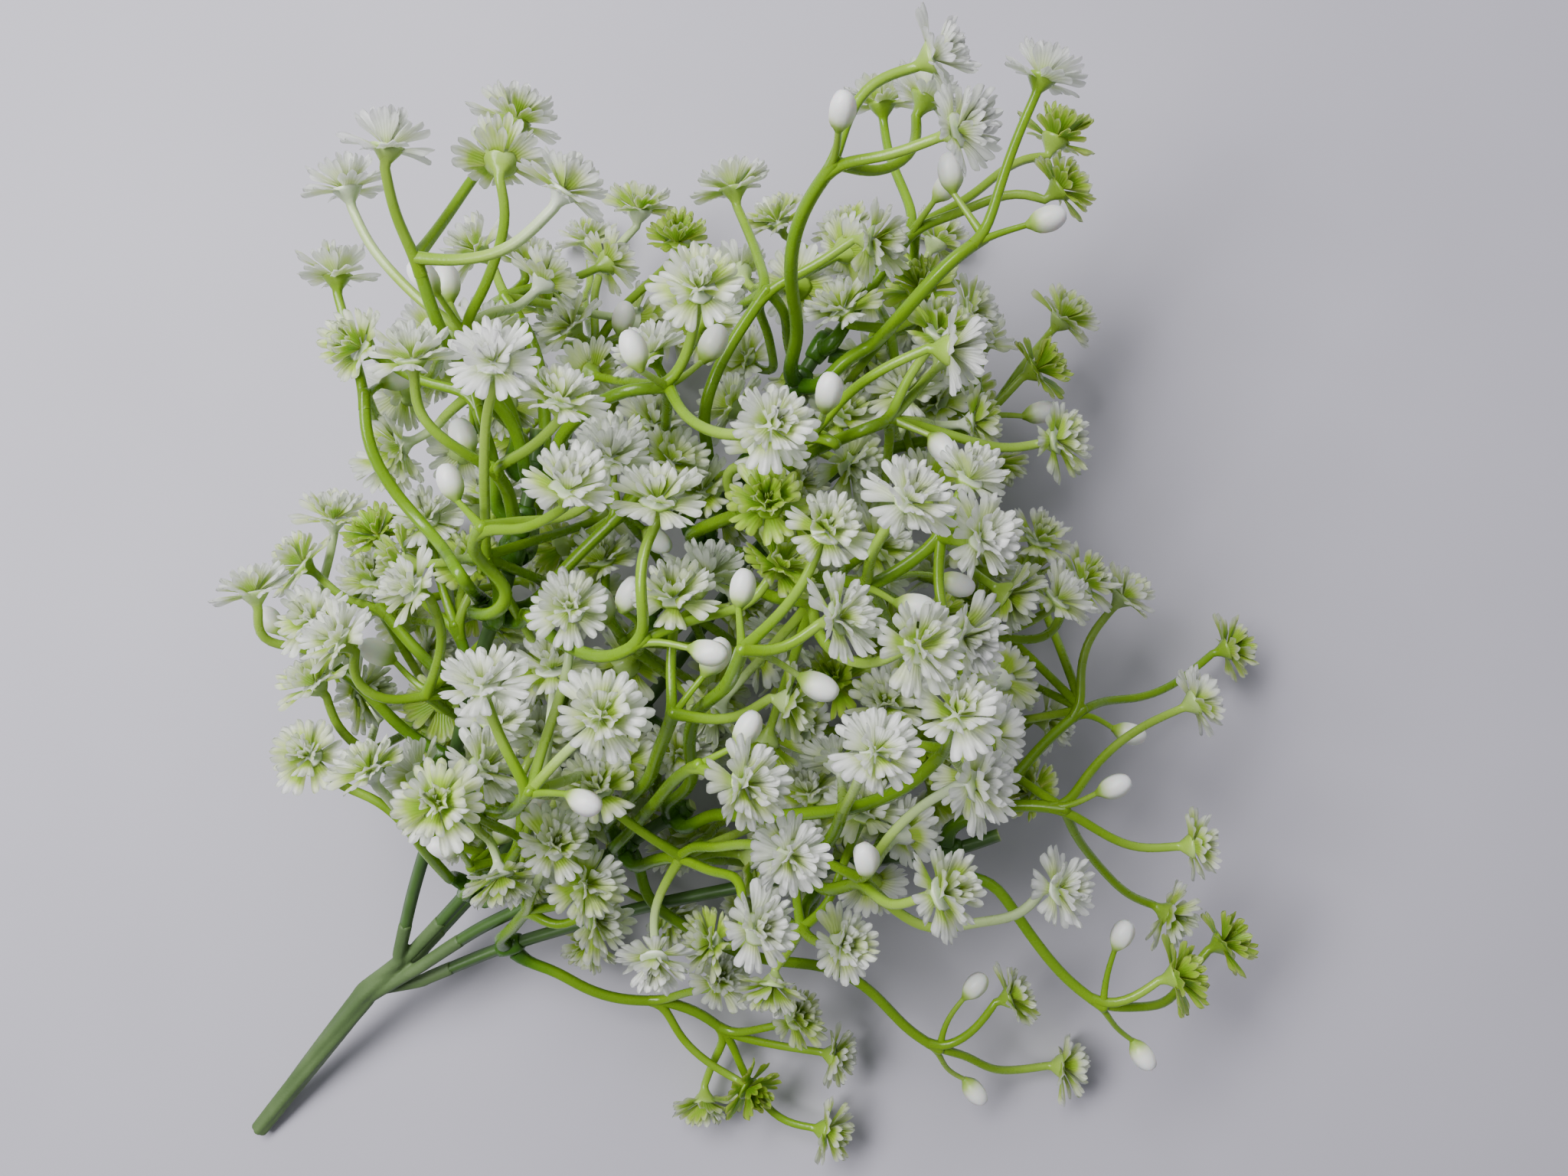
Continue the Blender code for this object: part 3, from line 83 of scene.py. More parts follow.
# Short shoots fill the depth of the bush: where their flowers are seen, how many grow from a node, how high
# they reach, how much they may touch what is there, and the radius that a flower takes up.
DEEP_MIDDLE = (-22.0, 4.0)
DEEP_REACH = 82.0
DEEP_SHOOTS = 4
DEEP_HEIGHTS = (12.0, 64.0)
DEEP_TOUCH = -2.2
DEEP_FLOWER = 6.8
# How far each sleeve of the grip runs along its stem, and how far the grip's strands turn round it.
SLEEVE_LENGTHS = {"stem_a": 10.5, "stem_b": 9.0, "stem_c": 12.0, "stem_d": 6.5, "stem_e": 6.0}
GRIP_TWIST = 1.3

# Pedicels that were moulded nearly white, by the place of their flower.
PALE_PEDICELS = {
    (-49.5, -5), (-43, -30), (46.5, -45), (65, -72), (-58, -19.5), (-106, 17), (-96.5, -29), (22, -38),
    (-98, -42), (-54, -60), (-30.5, -88), (12, -42), (26, 45), (-51, 94.5), (-103, 95), (-34, 90),
}

# A place is (x, y, z): x and y where it is seen on the surface from VIEW_HEIGHT above it, z its height.
HANDLE = ((-123.4, -127.3, 1.7), (-113, -114, 7.5), (-103, -101.5, 13.5), (-95.5, -92, 19))
STEMS = {
    "stem_a": (
        (-90.5, -86, 24), (-86.5, -69, 34), (-78.5, -43, 48), (-74.5, -27, 56), (-71, -15, 61),
        (-68, -6.5, 65), (-65.5, 0, 67), (-62.5, 12.5, 70), (-60, 21, 71), (-58.5, 30, 72), (-58, 37.5, 72),
    ),
    "stem_b": (
        (-86, -84, 24), (-79.5, -77, 28), (-63, -58, 36), (-49, -34.6, 43), (-31.3, -5.8, 50),
        (-24.5, 1.8, 52), (-18, 13, 54), (-12.5, 23, 56), (-6, 33, 58), (3, 48, 60), (11.3, 60.5, 60),
    ),
    "stem_c": (
        (-84, -88, 24), (-72, -80.3, 29), (-58.3, -73.5, 34), (-50, -68.6, 37), (-40, -62, 41), (-21.4, -50.8, 46),
    ),
    "stem_d": (
        (-83.5, -91.5, 18), (-68.8, -85.5, 21), (-58.3, -82, 24), (-45, -78.2, 28), (-29.5, -74.2, 33),
        (-6.5, -69.5, 38), (13.7, -65.2, 40), (38.9, -61.6, 42), (50.6, -58, 43),
    ),
    "stem_e": (
        (-84.5, -84.5, 15), (-73, -72, 17), (-52, -50, 21), (-30, -24, 25), (-14, -2, 28), (3, 19, 31),
        (10, 26, 33), (20, 31, 34),
    ),
}

# Rows: a spray with its stem and collar place, its arms to their nodes, forks that grow from the last
# node, and the tips on the last node. A tip ends in its facing: azimuth, tilt, then the places it passes.
LAYOUT = (
    ("spray", "spray_a1", "stem_a", -59.2, 26),
    ("arm", -86.5, 77.5, 100, (-61, 33), (-66, 43), (-73, 48.5), (-79, 57), (-84, 69)),
    ("head", -93, 105, 113, 80, 8, (-90, 84), (-93.5, 93)),
    ("head", -63, 111, 84, 75, 5, (-80, 86), (-74, 95), (-68, 103)),
    ("head", -51, 94.5, 113, 55, 10, (-75, 77), (-64, 80), (-57, 86)),
    ("arm", -76, 61, 88, (-62, 34), (-65.5, 44), (-71, 54)),
    ("head", -103, 95, 86, 102, 10, (-81, 64), (-89, 71), (-97, 80)),
    ("part_green", -66.5, 101, 100, 92, -30, (-72, 67), (-68, 77), (-65, 87)),
    ("bud", -85, 73, 97, 130, 20, (-79.5, 66)),
    ("bud", -79, 71, 84, 100, 0, (-77, 66)),
    ("arm", -27, 47, 88, (-56, 31), (-50, 35.5), (-42, 41.5), (-35, 45.3)),
    ("head", -2.5, 38.5, 110, 30, 65, (-24, 41), (-19, 37.5), (-12, 35.3)),
    ("bud", -35.5, 56, 95, 110, 10, (-31, 50)),
    ("head", -20, 71, 100, 80, 60, (-23.5, 54), (-20, 61)),
    ("bud", -17, 57.5, 80, 60, 10, (-22, 50)),
    ("head", -32, 56, 70, 120, 20),
    ("spray", "spray_a2", "stem_a", -61.5, 16),
    ("arm", -70, 27, 92, (-63.5, 20), (-66, 24)),
    ("head", -87.5, 55, 101, 92, 20, (-78, 30.5), (-85, 38), (-89, 47)),
    ("head", -52.5, 45, 106, 80, 30, (-65, 29.5), (-58, 33.5), (-56, 39)),
    ("bud", -75.5, 35.5, 84, 100, 10, (-73.5, 30.5)),
    ("arm", -73, 46, 78, (-66, 24), (-70, 36)),
    ("part_green", -100, 57, 80, 150, 40, (-80, 47.5), (-90, 49.5)),
    ("bud", -72.5, 41, 72, 80, 20),
    ("spray", "spray_a3", "stem_a", -67.8, -6),
    ("arm", -99, 46, 78, (-73, 3), (-83, 13), (-92, 23), (-98, 34)),
    ("head", -105.5, 74.5, 76, 92, 3, (-101, 54), (-105, 64)),
    ("bud", -92, 49, 74, 20, 10),
    ("arm", -71, 14.5, 97, (-63, -2), (-69, 4), (-74, 9.5)),
    ("head", -50, 24, 106, 70, 35, (-64, 13.3), (-57, 14.5), (-53, 18)),
    ("bud", -75, 22.5, 96, 110, 10, (-72.5, 17)),
    ("head", -41, 32, 84, 80, 40, (-60, 16), (-50, 16.5), (-44, 21)),
    ("arm", -32, -11, 96, (-61, -5), (-55, -10), (-47, -13.5), (-39, -14.5)),
    ("head", -30, 21.5, 102, 85, 30, (-33, -3), (-33.5, 7), (-32, 15)),
    ("bud", -21, -12, 96, -10, 20, (-27, -11.5)),
    ("green", -1, 7, 96, 40, 60, (-22, -9.5), (-13, -7), (-7, -2)),
    ("arm", -69.7, 7, 82, (-66, 0)),
    ("head", -68.5, 54, 110, 90, 55, (-70.3, 20), (-70.3, 33), (-69.5, 46)),
    ("head", -65, 20, 62, 80, 30, (-68, 11)),
    ("arm", -38, 18, 68, (-59, -4), (-55, 1), (-47, 9)),
    ("head", -41, 34, 66, 100, 40, (-41, 25)),
    ("head", -27, 31, 78, 50, 45, (-33, 24)),
    ("bud", -30, 11.5, 62, -40, 20),
    ("head", -40, 46.5, 48, 85, 30, (-43, 26), (-43, 36)),
    ("head", -30, 39, 56, 60, 40, (-35, 28)),
    ("spray", "spray_a4", "stem_a", -73.5, -23),
    ("arm", -84, -25, 66, (-78, -25)),
    ("head", -106, -12.5, 78, 150, 25, (-92, -27), (-98.5, -25), (-103, -19)),
    ("head", -88, 0, 84, 150, 35, (-81.5, -18), (-80, -9)),
    ("bud", -96, -15, 64, 150, 20, (-88, -21)),
    ("arm", -77, -9, 56, (-75, -17)),
    ("part_green", -76, -2.5, 60, 90, 40),
    ("head", -84, 17, 58, 95, 45, (-80, 1), (-84, 9)),
    ("green", -96, 13, 46, 120, 35, (-84, -4), (-90, 5)),
    ("arm", -95, -4, 46, (-81, -20), (-87, -14)),
    ("head", -114, 6, 38, 140, 20, (-102, -3), (-108, 0)),
    ("head", -96.5, 2, 40, 90, 30),
    ("spray", "spray_a5", "stem_a", -78, -40.5),
    ("arm", -98, -39, 52, (-84, -43), (-92, -41.5)),
    ("head", -111, -22, 62, 125, 25, (-103, -35), (-108, -30)),
    ("head", -96.5, -29, 40, 80, 40, (-97, -35)),
    ("arm", -112, -14, 52, (-86, -37), (-96, -27), (-105, -19)),
    ("head", -124.5, 0, 62, 100, 5, (-120, -14.5), (-126, -9)),
    ("head", -106, 17, 30, 85, 20, (-110, -5), (-107.5, 5)),
    ("bud", -120, -7, 46, 130, 0),
    ("head", -114, -10, 58, 150, 50),
    ("head", -101, -22, 44, 40, 40, (-106, -17)),
    ("spray", "spray_a6", "stem_a", -83, -55),
    ("arm", -60, -47.5, 92, (-78, -55), (-72, -51.5), (-66, -50)),
    ("head", -71, -22, 98, 95, 35, (-65, -39), (-69.5, -31)),
    ("head", -43, -30, 102, 60, 60, (-53, -43), (-48, -38)),
    ("head", -49.5, -5, 82, 80, 60, (-57, -38), (-53, -26), (-50.5, -14)),
    ("bud", -54, -49, 94, -20, 20),
    ("arm", -74, -52.5, 74, (-79, -55)),
    ("part_green", -81, -50.5, 92, 80, 70, (-79, -54)),
    ("head", -69.5, -44, 84, 40, 30),
    ("head", -63.5, -31.5, 62, 70, 30, (-69, -43)),
    ("spray", "spray_a7", "stem_a", -63.8, 7),
    ("arm", -44, 57, 34, (-60, 14), (-54, 28), (-48.5, 44)),
    ("head", -34, 90, 26, 80, 15, (-45, 67), (-42, 78)),
    ("head", -46, 82, 5, 95, 10, (-47, 68)),
    ("green", -25, 82, 50, 80, 40, (-38, 66), (-30, 73)),
    ("bud", -39.5, 64.5, 42, 80, 15),
    ("head", -48.5, 63.5, 46, 130, 30),
    ("arm", -66, 69, 58, (-61, 20), (-57, 36), (-57, 50), (-61, 62)),
    ("head", -71, 75, 58, 140, 15),
    ("head", -60, 77, 50, 70, 15),
    ("green", -55, 66, 40, 85, 20, (-60, 60)),
    ("spray", "spray_b1", "stem_b", -73.5, -70.5),
    ("arm", -88, -56, 56, (-77, -70), (-83, -63)),
    ("head", -112, -39, 62, 110, 60, (-94, -51), (-101, -46), (-108, -46.5)),
    ("head", -98, -42, 74, 110, 20, (-93, -49)),
    ("arm", -73.5, -65.5, 52, (-71.5, -67)),
    ("bud", -79, -62, 58, 160, 35),
    ("bud", -66, -57, 48, 60, 20, (-69, -60)),
    ("arm", -62, -60, 52, (-68, -69)),
    ("head", -59, -36, 60, 100, 50, (-61, -52), (-61, -44)),
    ("head", -58, -19.5, 64, 95, 30, (-60, -50), (-58.5, -38), (-58, -28)),
    ("spray", "spray_b2", "stem_b", -33, -8.5),
    ("arm", -38.5, -12, 74, (-36, -11)),
    ("bud", -36.5, -1, 86, 60, 20, (-37, -7)),
    ("bud", -40.5, -4.5, 80, 110, 10, (-39.5, -9)),
    ("head", -43, 6, 60, 100, 50, (-42, -4)),
    ("arm", -22, -6, 56, (-27, -10)),
    ("head", -13, -4, 58, 20, 40),
    ("head", -16, 4, 72, 70, 10, (-20, -2)),
    ("spray", "spray_b3", "stem_b", -19, 11),
    ("arm", -4, 70, 72, (-17.8, 20), (-17.8, 33), (-17, 44), (-14, 53), (-10, 61)),
    ("head", -12, 95, 54, 100, 5, (-6.5, 79), (-10, 87)),
    ("head", 21, 80.5, 74, -10, 20, (3, 73), (9, 77)),
    ("head", 2, 50, 56, -90, 40, (-1, 64), (1, 56)),
    ("head", -7, 53, 50, 150, 50, (-4, 62)),
    ("arm", -10, 18, 76, (-14.5, 16)),
    ("green", -4, 18.5, 96, 90, 65),
    ("head", -4, 33, 86, 60, 50, (-14.5, 22), (-14, 29)),
    ("head", -19, 24, 60, 120, 40),
    ("head", 3.5, 25, 52, 30, 30, (-4, 20)),
    ("arm", 20, 0.5, 92, (-12, 7), (-2, 2), (10, 0)),
    ("head", 29, 22, 112, 50, 45, (18, 5), (19, 12), (24, 18)),
    ("bud", 28.5, -2.5, 96, -10, 10),
    ("bud", 41, 1, 74, -20, 0, (28, 3), (35, 4)),
    ("fork", 37, 12, 92, (28, 4.5), (33, 9)),
    ("head", 47, 12, 104, 20, 50),
    ("head", 43, -11, 98, -10, 50, (36, 3), (36.5, -6)),
    ("head", 44, 26.5, 94, 60, 30, (38.5, 17)),
    ("arm", 7, -1, 84, (-11, 6), (-2, -1)),
    ("head", 31, -12, 114, 20, 50, (7.5, -9), (11, -15), (17, -17.3)),
    ("head", 23, 10, 64, 30, 30, (13, 3)),
    ("head", 0, -11, 64, -120, 40, (4, -6)),
    ("spray", "spray_b4", "stem_b", -9.5, 28),
    ("arm", 25, 39.5, 74, (-3, 25), (5, 30), (11, 34), (18, 38)),
    ("head", 65, 35, 70, 10, 30, (33, 37.5), (42, 35), (52, 32.5)),
    ("bud", 29.5, 36, 76, -50, 30),
    ("part_green", 35, 62, 74, 60, 30, (27, 46), (30, 53)),
    ("head", 26, 45, 54, 100, 40),
    ("arm", 7, 36, 84, (-3, 34)),
    ("head", 40, 56, 96, -3, 3, (14, 45), (22, 51), (30, 54)),
    ("bud", 10.3, 46.3, 98, 80, 30, (9.5, 41)),
    ("head", -13.5, 41, 62, 150, 40, (-2, 37)),
    ("head", 15, 43, 56, 60, 40),
    ("head", 13, 32, 64, -30, 40),
    ("spray", "spray_b5", "stem_b", 3.4, 48.6),
    ("arm", 12, 100, 104, (3.5, 60), (1.5, 71), (2, 81), (5, 90)),
    ("bud", 13.5, 111.5, 113, 80, 45, (12, 105)),
    ("head", 36, 125, 104, 20, 20, (16, 113.5), (22, 120)),
    ("head", 42, 108, 114, 10, 35, (22, 101), (31, 103.5)),
    ("head", 34, 116, 90, 60, 5, (20, 97.5), (28, 99.5), (33, 107)),
    ("arm", 47, 82, 84, (14, 54), (24, 61), (32, 68), (40, 75)),
    ("head", 61, 121, 88, 70, 5, (50, 92), (54, 104)),
    ("bud", 61, 86.5, 86, 15, 10, (54, 83)),
    ("bud", 39, 98, 84, 100, 10, (43, 90)),
    ("spray", "spray_b6", "stem_b", 10.2, 59),
    ("arm", 31, 85, 66, (17, 65), (22, 71.5), (27, 80)),
    ("head", 23, 115, 58, 95, 10, (28, 94), (24, 103)),
    ("green", 64, 96, 70, 60, 10, (38, 87), (47, 90.5), (54, 95)),
    ("bud", 37, 93, 72, 50, 20, (34, 89)),
    ("green", 63, 107, 52, 80, 10, (44, 92), (55, 101)),
    ("arm", 24, 61, 62, (18, 60)),
    ("green", 33, 71, 60, 100, 40),
    ("head", 43, 66, 58, 10, 20, (33, 64)),
    ("head", 14, 66, 66, 120, 30),
    ("head", 19, 53, 46, -110, 30),
    ("spray", "spray_c1", "stem_c", -38, -60.8),
    ("arm", -20, -41.5, 92, (-36.5, -55), (-33, -50.5), (-27, -45)),
    ("bud", -13, -35, 94, 60, 10, (-16.5, -38)),
    ("head", -8.5, -46, 102, 10, 45, (-18, -46), (-14, -47.5)),
    ("arm", -25.5, -29.5, 92, (-40, -56.5), (-36, -49.5), (-31, -41), (-27.5, -34)),
    ("head", -25.5, -3, 92, 95, 35, (-25.8, -20), (-24.5, -11)),
    ("bud", -20.5, -22, 93, 60, 10, (-23, -26)),
    ("part_green", 3, -26.5, 90, -10, 5, (-18, -31), (-9, -30.5)),
    (
        "arm", 36.5, -108.5, 20, (-35, -69), (-30, -75), (-20, -81), (-12, -85.5), (0, -88), (10, -89), (20, -94),
        (28, -103),
    ),
    ("bud", 45, -93.5, 24, 50, 10, (39.5, -101)),
    ("head", 54, -96, 26, 20, 5, (43, -103.5), (48, -99.5)),
    ("head", 66, -112, 6, 0, 5, (44, -111.5), (52, -114)),
    ("bud", 45, -118.5, 12, -50, 0, (39.5, -113.5)),
    ("arm", -24, -63, 58, (-33, -64.5)),
    ("head", 2, -63, 94, 0, 60, (-16, -61), (-8, -60)),
    ("head", -6, -80, 84, 30, 45, (-16, -66), (-8, -70)),
    ("head", -30.5, -88, 56, -90, 45, (-30, -73), (-31, -80)),
    ("head", -41.5, -47.5, 66, 95, 50, (-32, -57), (-38, -52)),
    ("spray", "spray_c2", "stem_c", -24.5, -52.8),
    ("arm", -11, -13, 102, (-21.5, -46), (-22.5, -37), (-20.5, -28), (-16, -20)),
    ("head", 14, -6, 106, 20, 30, (-2, -11.5), (6, -9)),
    ("head", 10, 13, 100, 60, 60, (-4, -6), (4, 1)),
    ("bud", -5, -1.5, 100, 80, 10, (-8, -8)),
    ("bud", 7.5, -23.5, 92, -25, 10, (-5, -15.5), (1, -20)),
    ("arm", 38, -38, 92, (-18, -53), (-8, -54), (4, -53), (16, -51), (28, -46.5)),
    ("head", 41, -29, 110, 80, 50),
    ("head", 50, -36, 84, 0, 20),
    ("head", 24, -27, 66, 100, 60, (28, -36)),
    ("head", 41.5, -20.5, 84, 80, 30, (40, -30)),
    ("spray", "spray_d1", "stem_d", -64.5, -84),
    ("arm", -60, -75.5, 46, (-64, -79.5)),
    ("bud", -57.5, -50, 66, 60, 10, (-61.5, -66), (-60.5, -57)),
    ("head", -43.5, -78, 52, 0, 25, (-55, -79), (-50, -80)),
    ("head", -46, -69.5, 64, 20, 50, (-54, -73)),
    ("head", -54, -60, 70, 60, 50, (-57.5, -68)),
    ("arm", -28.5, -97, 14, (-60, -86.5), (-52, -91), (-44, -95.5), (-36, -97)),
    ("head", -15, -92, 30, 60, 45, (-24, -95)),
    ("green", -8, -118, 12, -30, 30, (-26, -102), (-21, -108.5), (-15, -114)),
    ("fork", -13, -105, 10, (-21, -100)),
    ("head", -18.5, -121.5, 9, -90, 15, (-16, -110)),
    ("head", 3, -101, 20, 40, 40, (-6, -104)),
    ("head", 10.5, -127.5, 10, -10, 5, (-10.5, -112), (-5, -121), (2, -127)),
    ("head", 12.5, -110, 12, -10, 10, (-3, -107)),
    ("spray", "spray_d2", "stem_d", 7, -66.6),
    ("arm", 18.5, -68.5, 78, (11, -71)),
    ("bud", 19, -64, 86, 100, 30),
    ("head", 38, -71.5, 94, 20, 35, (21.5, -73.5), (27, -75.5)),
    ("head", 46.5, -45, 90, 10, 35, (22, -62), (27, -55.5), (34, -49.5)),
    ("head", 65, -72, 72, 0, 50, (32, -80), (45, -78.5), (56, -77)),
    ("arm", 14.3, -52, 84, (10, -60)),
    ("head", 22, -38, 108, 60, 55, (17, -47)),
    ("head", 12, -42, 66, 110, 40, (13.5, -47)),
    ("arm", 4, -80, 50, (5, -72)),
    ("head", 14, -84, 70, 30, 55, (7, -83)),
    ("head", -2, -94, 42, -90, 40, (0, -86)),
    ("head", -17, -83, 46, 150, 40, (-6, -83)),
    ("head", 17.5, -52.5, 62, 80, 40, (9, -70), (14, -61)),
    ("head", 6, -47, 55, 90, 40, (4, -68), (4, -57)),
    ("spray", "spray_d3", "stem_d", 38.5, -61.7),
    ("arm", 66, -52, 54, (43, -55), (50, -51), (58, -51)),
    ("head", 97.5, -26.5, 38, 25, 5, (72, -43), (79, -36), (87, -31)),
    ("bud", 75, -48, 58, 25, 20),
    ("head", 97, -60.5, 52, 5, 10, (74, -57.5), (81, -61)),
    ("head", 91, -77, 30, -30, 10, (70, -60), (75, -66.5), (82, -73)),
    ("part_green", 57, -47, 36, 150, 30),
    ("arm", 75, -98.5, 44, (46, -66), (54, -76), (62, -87), (69, -94.5)),
    ("bud", 79.5, -81.5, 48, 70, 20, (75.5, -92)),
    ("green", 93, -91, 48, 20, 15, (81, -97.5)),
    ("green", 104, -83, 32, 30, 10, (84, -99), (93, -96)),
    ("bud", 84.5, -110, 36, -55, 5, (79, -103.5)),
    ("arm", 70.5, -29, 34, (46, -54), (55, -45), (63, -36)),
    ("head", 80, -1.5, 32, 50, 10, (69.5, -21), (71.5, -12)),
    ("head", 105, -14, 12, 20, 10, (82, -26.5), (94, -21.5)),
    ("bud", 80, -32.5, 32, -15, 10, (74, -31)),
    ("spray", "spray_e1", "stem_e", 17, 29.8),
    ("arm", 48, 41, 42, (25, 33), (34, 35), (41, 37.5)),
    ("head", 66, 64, 26, 50, 20, (53, 48), (60, 57)),
    ("green", 60, 50, 40, 30, 20, (54, 45.5)),
    ("bud", 59, 43, 40, 15, 0, (54, 41)),
    ("head", 46, 58, 34, 100, 30, (46, 48)),
    ("head", 37, 43, 44, 150, 40),
    ("arm", 27, 68, 18, (20, 40), (23, 52)),
    ("head", 36, 82, 6, 60, 5, (32, 74)),
    ("head", 14, 85, 18, 110, 25, (20, 76)),
    ("head", -2, 87, 24, 120, 25, (16, 72), (5, 80)),
    ("spray", "spray_e2", "stem_e", -6, 8.5),
    ("arm", 46, -10.5, 50, (4, 4), (18, -2), (32, -8)),
    ("head", 65, -2, 58, 50, 20, (54, -10), (60, -8)),
    ("head", 71, 2, 40, 40, 20, (55, -12), (65, -11)),
    ("head", 60, 12, 24, 70, 30, (52, -4)),
    ("green", 25, -11, 46, -140, 40, (36, -16)),
    ("green", 49, -21, 38, -80, 30),
    ("spray", "spray_e3", "stem_e", -34, -29),
    ("arm", 30, -32, 40, (-26, -33), (-12, -36), (4, -38), (18, -36)),
    ("head", 54, -24, 26, 30, 20, (42, -29)),
    ("head", 62, -31, 22, 0, 20, (42, -34), (52, -35)),
    ("green", 12, -22, 54, 120, 50, (22, -30)),
    ("head", 4.5, -33, 52, 160, 45, (20, -33), (12, -34)),
    ("green", 33, -37, 50, -60, 40),
    ("arm", -30, -48, 30, (-34, -36)),
    ("head", -20, -60, 26, -60, 30),
    ("head", -37.5, -38.5, 42, 130, 40),
    ("head", -25, -38.5, 48, 60, 50),
    ("head", -18.5, -36, 36, 50, 30, (-24, -43)),
    ("spray", "spray_e4", "stem_e", -52, -50),
    ("arm", -56, -33, 30, (-57, -44)),
    ("head", -66, -26, 30, 130, 30),
    ("head", -50, -22, 28, 70, 40),
    ("head", -54, -38, 44, 100, 60),
    ("head", -50, -45, 38, -40, 40, (-54, -40)),
    ("arm", -40, -70, 16, (-47, -58)),
    ("head", -26, -78, 14, -30, 20),
    ("head", -46, -84, 12, -120, 15),
)


def lift(x, y, z):
    """The place at height z that is seen at (x, y) on the surface."""
    share = (VIEW_HEIGHT - z) / VIEW_HEIGHT
    return np.array((x * share - PLAN_MIDDLE[0], y * share - PLAN_MIDDLE[1], z), float)


def unit(vector):
    return vector / max(np.linalg.norm(vector), 1e-9)


def facing(azimuth, tilt):
    a = math.radians(azimuth)
    t = math.radians(tilt)
    return np.array((math.cos(t) * math.cos(a), math.cos(t) * math.sin(a), math.sin(t)))


def travelled(path):
    """The length of the way along a path up to each of its points."""
    return np.concatenate([[0], np.cumsum(np.linalg.norm(np.diff(path, axis=0), axis=1))])


def smooth_path(points, spacing):
    """Points about one spacing apart on a smooth curve through the given ones."""
    points = [np.asarray(p, float) for p in points]
    ends = [2 * points[0] - points[1]] + points + [2 * points[-1] - points[-2]]
    fine = []
    for a, b, c, d in zip(ends, ends[1:], ends[2:], ends[3:]):
        for t in np.linspace(0, 1, 12, endpoint=False):
            square, cube = 2 * a - 5 * b + 4 * c - d, 3 * b - a - 3 * c + d
            fine.append(0.5 * (2 * b + (c - a) * t + square * t**2 + cube * t**3))
    fine = np.array(fine + [points[-1]])
    along = travelled(fine)
    wanted = np.linspace(0, along[-1], max(1, round(along[-1] / spacing)) + 1)
    return np.stack([np.interp(wanted, along, fine[:, k]) for k in range(3)], axis=1)


def lifted_route(start, via, end):
    """A route that climbs evenly from start to end over the seen places between them."""
    share = [(VIEW_HEIGHT - p[2]) / VIEW_HEIGHT for p in (start, end)]
    plan = [(p[:2] + PLAN_MIDDLE) / s for p, s in zip((start, end), share)]
    seen = np.array([plan[0], *via, plan[1]])
    along = travelled(seen)
    heights = start[2] + (end[2] - start[2]) * (along / max(along[-1], 1e-9)) ** 0.8
    return [start] + [lift(x, y, z) for (x, y), z in zip(seen[1:-1], heights[1:-1])] + [end]


